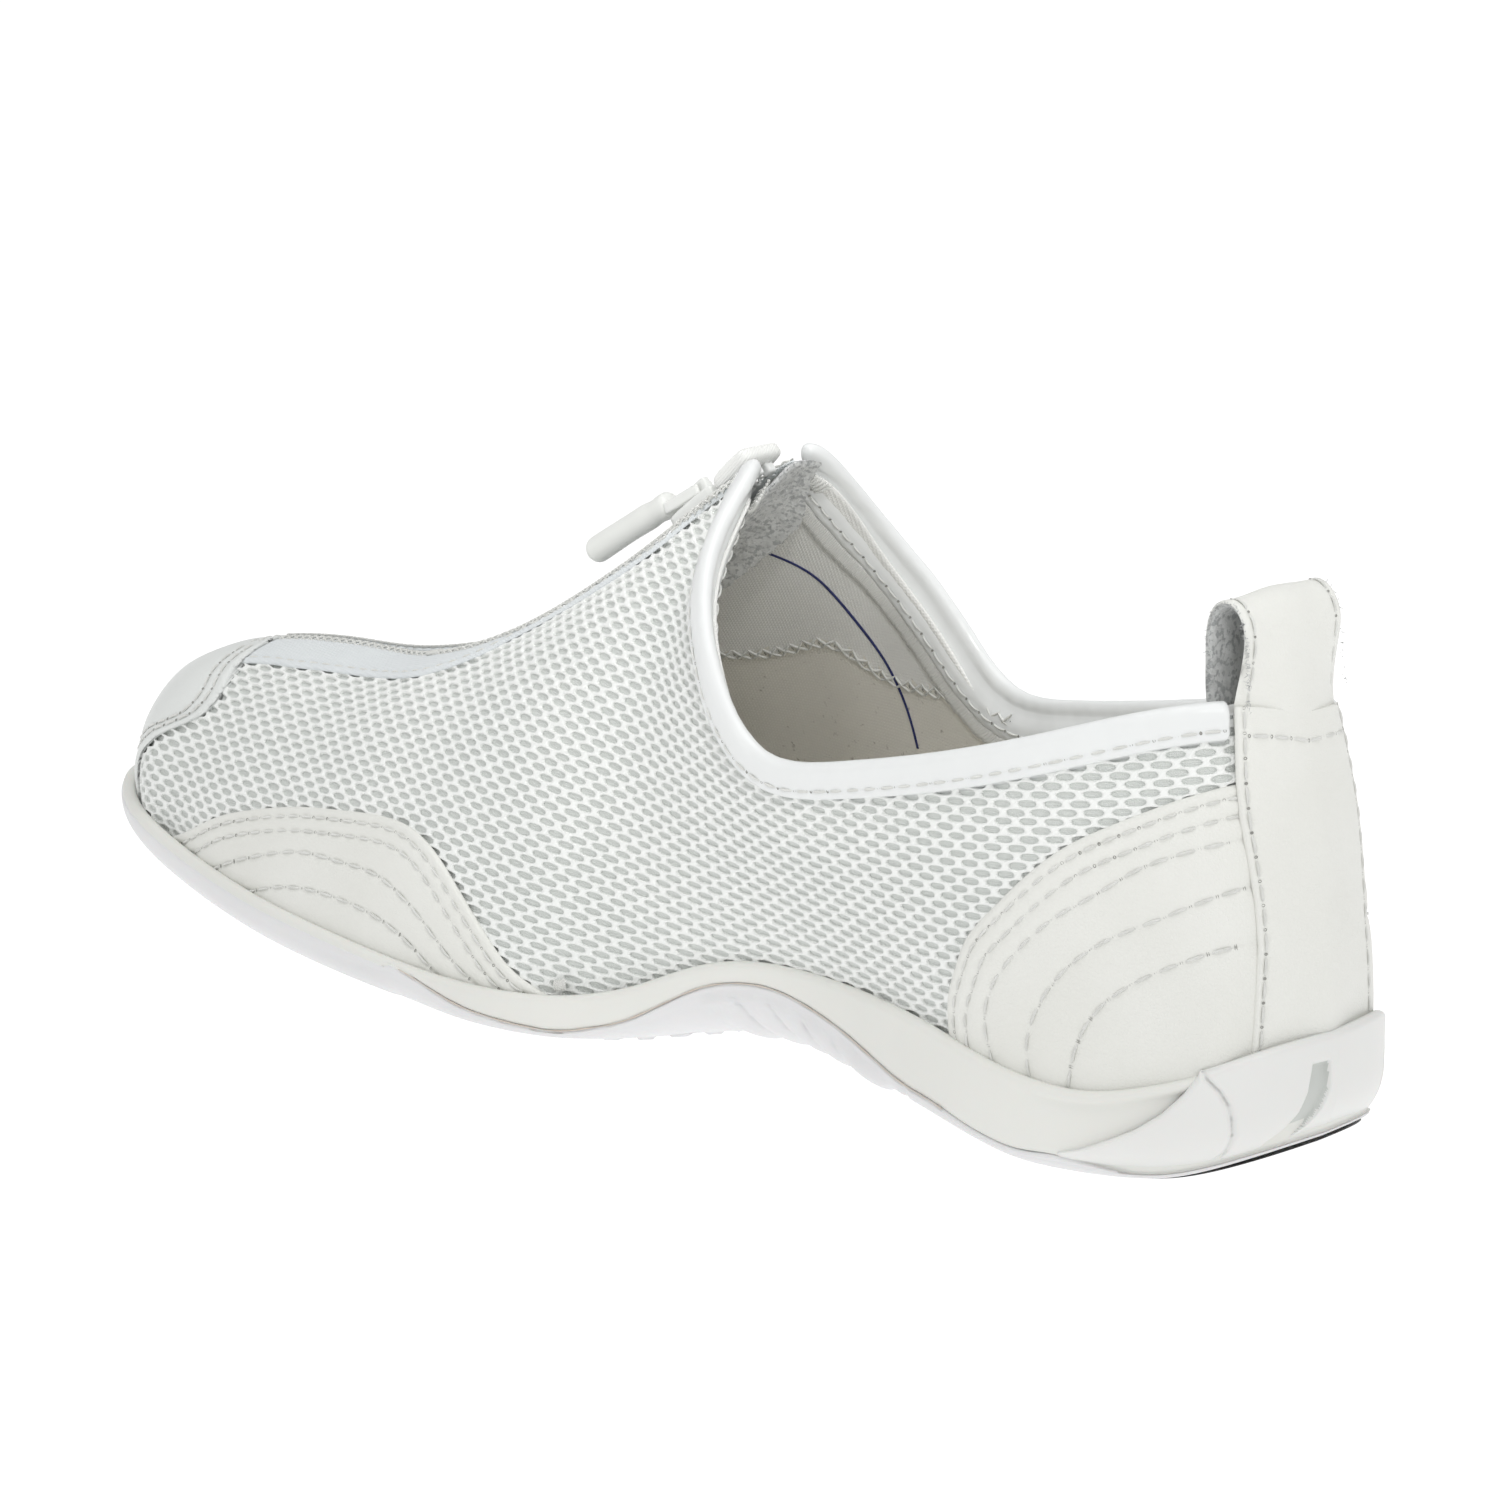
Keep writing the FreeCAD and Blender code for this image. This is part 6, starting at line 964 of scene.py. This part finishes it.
# midsole wall, rim to parting line (in the forefoot the outsole is drawn up to the rim)
tm = np.linspace(0, 1, 26)[1:]
top_m = rimz-1.05; low_m = np.where(FULL, rimz-1.35, plz)
wm = []
for t in tm:
    z = top_m*(1-t)+low_m*t; ins = 0.06+BK*sm(t, 0, 0.1)-0.35*np.sin(np.pi*np.clip(t, 0, 1))*np.clip((top_m-low_m)/9, 0, 1)+0.10*sm(t, 0.93, 1.0)
    wm.append(wall(ins, z))
rows = inner+lip+wm+[wall(0.9, low_m-0.15), wall(2.2, low_m-0.3), wall(2.9, np.maximum(low_m-0.6, botz+0.8))]
A = np.array(rows).transpose(1, 0, 2); v, F = A.reshape(-1, 3), [gfaces(A.shape[0], A.shape[1], ci=True, cj=True)]
mesh("midsole_wall", v, F, M["mid"], slot="midsole_foam", rep=["midsole"])
# cup floor under the foot (closes the midsole)
def fill_strip(ringpts, zfun, n=40):
    """a surface across the foot between the inner and outer halves of a closed ring"""
    h = len(uo)-1; a = ringpts[:h+1]; b = np.concatenate([ringpts[:1], ringpts[h:][::-1]])[:h+1]; t = np.linspace(0, 1, n)[None, :, None]
    G = a[:, None]*(1-t)+b[:, None]*t; Z = zfun(G[..., 0], G[..., 1], t[..., 0]); return np.concatenate([G[..., :2], Z[..., None]], -1)
cup = fill_strip(wall(2.95, seatz), lambda X, Y, t: seat_z(X)+0.2+0*Y); under = fill_strip(wall(2.95, seatz), lambda X, Y, t: np.maximum(seat_z(X)-3.0, bot_z(X)+1.2)+0*Y)
v, F = shell(cup, under); mesh("midsole_floor", v, F, M["mid"], slot="midsole_foam", rep=["midsole"])
# outsole: wall from the parting line down, rounded into the underside
top_o = np.where(FULL, rimz-1.0, plz-0.22); Rb = np.clip((top_o-botz)*0.72, 0.9, 5.4+0*xs_)
tw = np.linspace(0, 1, 20); wo = [wall(2.6+BK, top_o-0.1), wall(0.9+BK, top_o+0.0), wall(0.12+BK, top_o-0.10), wall(-0.10+BK, top_o-0.42)]
zc = botz+Rb
for t in tw[1:]:
    z = (top_o-0.42)*(1-t)+zc*t; wo.append(wall(-0.10+BK-0.22*np.sin(np.pi*t)*np.clip((top_o-zc)/6, 0, 1), z))
for a in np.linspace(0, 90, 15)[1:]:
    r = math.radians(a); wo.append(wall(-0.10+BK*1.3+Rb*(1-math.cos(r)), botz+Rb*(1-math.sin(r))))
A = np.array(wo).transpose(1, 0, 2)
LB = np.array([64.5, 75.3, 81.0, 87.0, 93.7, 100.3]); bzr = bot_z(A[..., 0]); qx = A[..., 0]-1.15*(A[..., 2]-bzr); kk = np.clip(np.searchsorted(LB, qx)-1, 0, 4); tr = np.clip((qx-LB[kk])/(LB[kk+1]-LB[kk]), 0, 1)
amp_ = np.where((qx > LB[0]) & (qx < LB[-1]), np.sin(np.pi*tr)**0.6, 0)*np.interp(qx, [64.5, 70, 92, 100.3], [1.5, 1.35, 1.1, 1.0])*sm(top_o[:, None]-A[..., 2], 0.8, 3.0)
dz_ = nz(np.concatenate([np.broadcast_to(RN[:, None], A.shape[:2]+(2,))*np.clip((A[..., 2]-bzr)/Rb[:, None], 0.12, 1)[..., None], -np.clip(1-(A[..., 2]-bzr)/Rb[:, None], 0, 1)[..., None]], -1))
A = A+dz_*(amp_-0.0)[..., None]
gv = 0.55*np.exp(-((A[..., 0]-60.4)/0.5)**2)*sm(A[..., 2], 4.0, 5.0)*(1-sm(A[..., 2], 7.6, 8.4)); A = A-dz_*gv[..., None]
last = A[:, -1]
n, q = A.shape[:2]
# underside with treads, closed strips between the two halves of the last ring
h = len(uo)-1; nb_ = 70; a = last[:h+1]; b = np.concatenate([last[:1], last[h:][::-1]])[:h+1]; t = np.linspace(0, 1, nb_)[None, :, None]
G = a[:, None]*(1-t)+b[:, None]*t; X, Y = G[..., 0], G[..., 1]; edge = np.minimum(t[..., 0], 1-t[..., 0])*np.abs(a[:, 1]-b[:, 1])[:, None]
tread = sm(np.abs(((X*0.5+0.35*np.abs(Y)*0.8) % 3.4)-1.7), 0.55, 0.8)*sm(edge, 3.0, 4.0)*np.clip(sm(X, 104, 110)+(1-sm(X, 54, 60))*sm(X, 12, 16), 0, 1)*(1-sm(X, 226, 236))
Z = bot_z(X)+2.0*(1-sm(X, -3, 14))+0.05; Z = Z-tread*np.clip(bot_z(X), 0, 1.25)*0.95; G = np.stack([X, Y, Z], -1)
v = np.concatenate([A.reshape(-1, 3), G.reshape(-1, 3)]); F = [gfaces(n, q, ci=True)[:, ::-1], gfaces(h+1, nb_, base=n*q)]
mesh("outsole_shell", v, F, M["out"], slot="outsole_rubber", rep=["outsole", "arch_ribs", "heel_tread_pads", "forefoot_tread_pads"], weld=0.02)
# heel wrap: a skin round the heel standing 0.9 mm proud, with cut grooves
s_al = np.r_[0, np.cumsum(np.hypot(*np.diff(np.concatenate([R0, R0[:1]]), axis=0).T))]; tot = s_al[-1]
WE = [(4.3,46.8),(5.5,42.5),(7.6,37.9),(9.8,33.5),(12.7,29.3),(16.0,26.0),(19.1,23.7),(22.8,22.4)]
G1 = [(3.6,21.9),(5.1,20.8),(6.8,19.1),(9.4,18.3),(12,18.5),(14.6,19.1),(16.8,20.4),(18.5,22.1),(22,25)]
SL = [(5.9,12.3,13.4),(6.9,9.9,13.2),(7.9,8.1,12.4),(9.7,5.0,9.9),(12.2,2.9,7.6),(15.4,1.5,6.1),(18.9,1.5,5.45),(20.2,1.6,5.3)]
def heel_xy(s):
    """a point on the heel outline; s is the length from the heel centre, inner side positive"""
    s = np.asarray(s, float); q = np.mod(s, tot); R = np.concatenate([R0, R0[:1]]); Nn = np.concatenate([RN, RN[:1]])
    return np.stack([np.interp(q, s_al, R[:, 0]), np.interp(q, s_al, R[:, 1])], -1), nz(np.stack([np.interp(q, s_al, Nn[:, 0]), np.interp(q, s_al, Nn[:, 1])], -1))
ns, nzv = 420, 64; tt = np.linspace(-1, 1, ns)[:, None]; rr = np.linspace(0, 1, nzv)[None]
p_, _ = heel_xy(tt*36); rz = rim_z(p_[..., 0])
zz = None
s_edge = lambda z: np.interp(z, [q_[0] for q_ in WE], [q_[1] for q_ in WE])
# rows by height: z from just over the bottom rounding to the rim
zb0 = 2.2
Zg = zb0+(23.2-zb0)*rr; Sg = tt*s_edge(Zg); pq, nq = heel_xy(Sg); rz = rim_z(pq[..., 0]); bz = bot_z(pq[..., 0])+2.0*(1-sm(pq[..., 0], -3, 14)); Zg = bz+0.9+(np.minimum(rz+0.55, 23.9)-bz-0.9)*rr+0*tt
Sg = tt*s_edge(Zg); pq, nq = heel_xy(Sg)
low = np.clip((bz+9.0-Zg)/9.0, 0, 1); rbin = 6.5*(1-np.sqrt(np.clip(1-low**2, 0, 1)))
d_e = np.minimum(s_edge(Zg)-np.abs(Sg), 50); d_t = (np.minimum(rim_z(pq[..., 0])+0.55, 23.9)-Zg)
prof = 0.95*np.sqrt(np.clip(1-np.clip(1-np.minimum(d_e, d_t)/0.9, 0, 1)**2, 0, 1))
g1 = np.abs(np.abs(Sg)-np.interp(Zg, [q_[0] for q_ in G1], [q_[1] for q_ in G1])); gr = 0.62*np.exp(-(g1/0.42)**2)*sm(Zg, 3.5, 4.6)
sa, sb = np.interp(Zg, [q_[0] for q_ in SL], [q_[1] for q_ in SL]), np.interp(Zg, [q_[0] for q_ in SL], [q_[2] for q_ in SL]); As = np.abs(Sg)
inn = np.minimum(As-sa, sb-As); rec = np.where(Sg > 0, 1.0, 0.0)*1.15*sm(inn, -0.15, 0.45)*sm(Zg, 5.4, 6.4)*(1-sm(Zg, 19.0, 20.2))
outd = prof-gr-rec
def hw(o, z=None): q_ = pq+nq*(o-rbin)[..., None]; return np.concatenate([q_, Zg[..., None]], -1)
# faces deep in the slot recess take the darker slot material: painted shade in the recess
v, F = shell(hw(outd+0.12), hw(np.minimum(outd-0.2, -0.6))); nf = (ns-1)*(nzv-1); fm = np.zeros(sum(len(f) for f in F), int); cen = 0.25*(rec[:-1, :-1]+rec[1:, :-1]+rec[:-1, 1:]+rec[1:, 1:]); fm[:nf] = (cen.reshape(-1) > 0.55)
mesh("heel_wrap_skin", v, F, [M["wrap"], M["slot"]], slot="wrap_rubber", rep=["heel_wrap"], fm=fm)
# adhesive showing along the parting line on the inner side
sel = (SIDE > 0) & (xs_ > 50) & (xs_ < 168); idx = np.where(sel)[0]; P = np.stack([R0[idx, 0]+RN[idx, 0]*0.12, R0[idx, 1]+RN[idx, 1]*0.12, plz[idx]-0.1], 1); N = np.concatenate([RN[idx], np.zeros((len(idx), 1))], 1)
wv = 0.10+0.05*np.sin(P[:, 0]*0.9)*np.sin(P[:, 0]*0.37+1); v, F = tube(P, N, np.maximum(wv, 0.04), 6, flat=0.8); mesh("adhesive_line", v, F, M["adh"])

# ------------------------------------------------------------------ bar tacks, stitches
B_ = []
for (side, u, v0_) in ((1, 0.7395, 0.985), (1, 0.478, 0.05)):
    P = PT(side, u, v0_, 0.15); N = NR(side, u, v0_)
    for k in range(6):
        a = P+np.array([0.45*k-1.1, 0, -0.12*k]); dirn = nz(np.cross(N, [1, 0, 0])); L = np.array([a-dirn*0.9, a+N*0.3, a+dirn*0.9]); B_.append(tube(resample(L, n=7), np.broadcast_to(N, (7, 3)), 0.25, 6))
v, F = join(TACKS+B_); mesh("bar_tacks", v, F, M["thread"])
flush_stitches(M["thread"], M["hole"])

# ------------------------------------------------------------------ studio
floor = bpy.data.meshes.new("floor"); floor.from_pydata([(-30, -30, 0), (30, -30, 0), (30, 30, 0), (-30, 30, 0)], [], [(0, 1, 2, 3)])
fo = bpy.data.objects.new("floor", floor); bpy.context.scene.collection.objects.link(fo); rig.stage(fo)
fm_ = bpy.data.materials.new("floor_white"); fm_.use_nodes = True; b = next(n for n in fm_.node_tree.nodes if n.type == "BSDF_PRINCIPLED")
b.inputs["Emission Color"].default_value = (1, 1, 1, 1); b.inputs["Emission Strength"].default_value = 0.87; b.inputs["Base Color"].default_value = (0.3, 0.3, 0.3, 1); b.inputs["Roughness"].default_value = 0.9; b.inputs["Specular IOR Level"].default_value = 0.1
floor.materials.append(fm_)
sc = bpy.context.scene
w = bpy.data.worlds.new("studio"); sc.world = w; w.use_nodes = True; bg = next(n for n in w.node_tree.nodes if n.type == "BACKGROUND"); bg.inputs["Color"].default_value = (1, 1, 1, 1); bg.inputs["Strength"].default_value = 0.62
sc.view_settings.view_transform = "Standard"; sc.view_settings.look = "None"; sc.view_settings.exposure = 0.0; sc.view_settings.gamma = 1.0
def light(name, loc, aim, size, power):
    l = bpy.data.lights.new(name, "AREA"); l.energy = power; l.shape = "SQUARE"; l.size = size
    o = bpy.data.objects.new(name, l); sc.collection.objects.link(o); o.location = loc; o.rotation_euler = (Vector(aim)-Vector(loc)).to_track_quat("-Z", "Y").to_euler(); return o
light("top", (-0.25, 0.25, 1.35), (0, 0, 0.04), 1.1, 6.5)
light("side", (-1.1, 0.35, 0.55), (0, 0, 0.04), 0.6, 1.0)
l = bpy.data.lights.new("inner_fill", "SPOT"); l.energy = 8.0; l.spot_size = math.radians(13); l.spot_blend = 1.0; l.shadow_soft_size = 0.06
lo_ = bpy.data.objects.new("inner_fill", l); sc.collection.objects.link(lo_); lo_.location = (-0.48, 0.36, 0.50); lo_.rotation_euler = (Vector((-0.005, -0.03, 0.055))-Vector((-0.48, 0.36, 0.50))).to_track_quat("-Z", "Y").to_euler()
cam = bpy.data.cameras.new("cam"); co = bpy.data.objects.new("cam", cam); sc.collection.objects.link(co)
loc = Vector((-0.63032, 0.68402, 0.27228)); f = Vector((0.65598, -0.71437, -0.2436)).normalized(); r = Vector((-0.73657, -0.67637, 0)).normalized(); up_ = r.cross(f).normalized()
f2 = (f+0.003906*r+0.005606*up_).normalized(); r2 = f2.cross(up_).normalized(); u2 = r2.cross(f2)
co.matrix_world = Matrix(((r2.x, u2.x, -f2.x, loc.x), (r2.y, u2.y, -f2.y, loc.y), (r2.z, u2.z, -f2.z, loc.z), (0, 0, 0, 1)))
cam.lens = 134.39; cam.sensor_width = 36; cam.sensor_fit = "HORIZONTAL"; cam.dof.use_dof = False; cam.clip_start = 0.01; cam.clip_end = 100
sc.camera = co
VIS_LO, VIS_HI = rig.bounds()
json.dump({"cad": [list(map(float, CAD_LO)), list(map(float, CAD_HI))], "visual": [list(map(float, VIS_LO)), list(map(float, VIS_HI))]}, open("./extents.json", "w"))
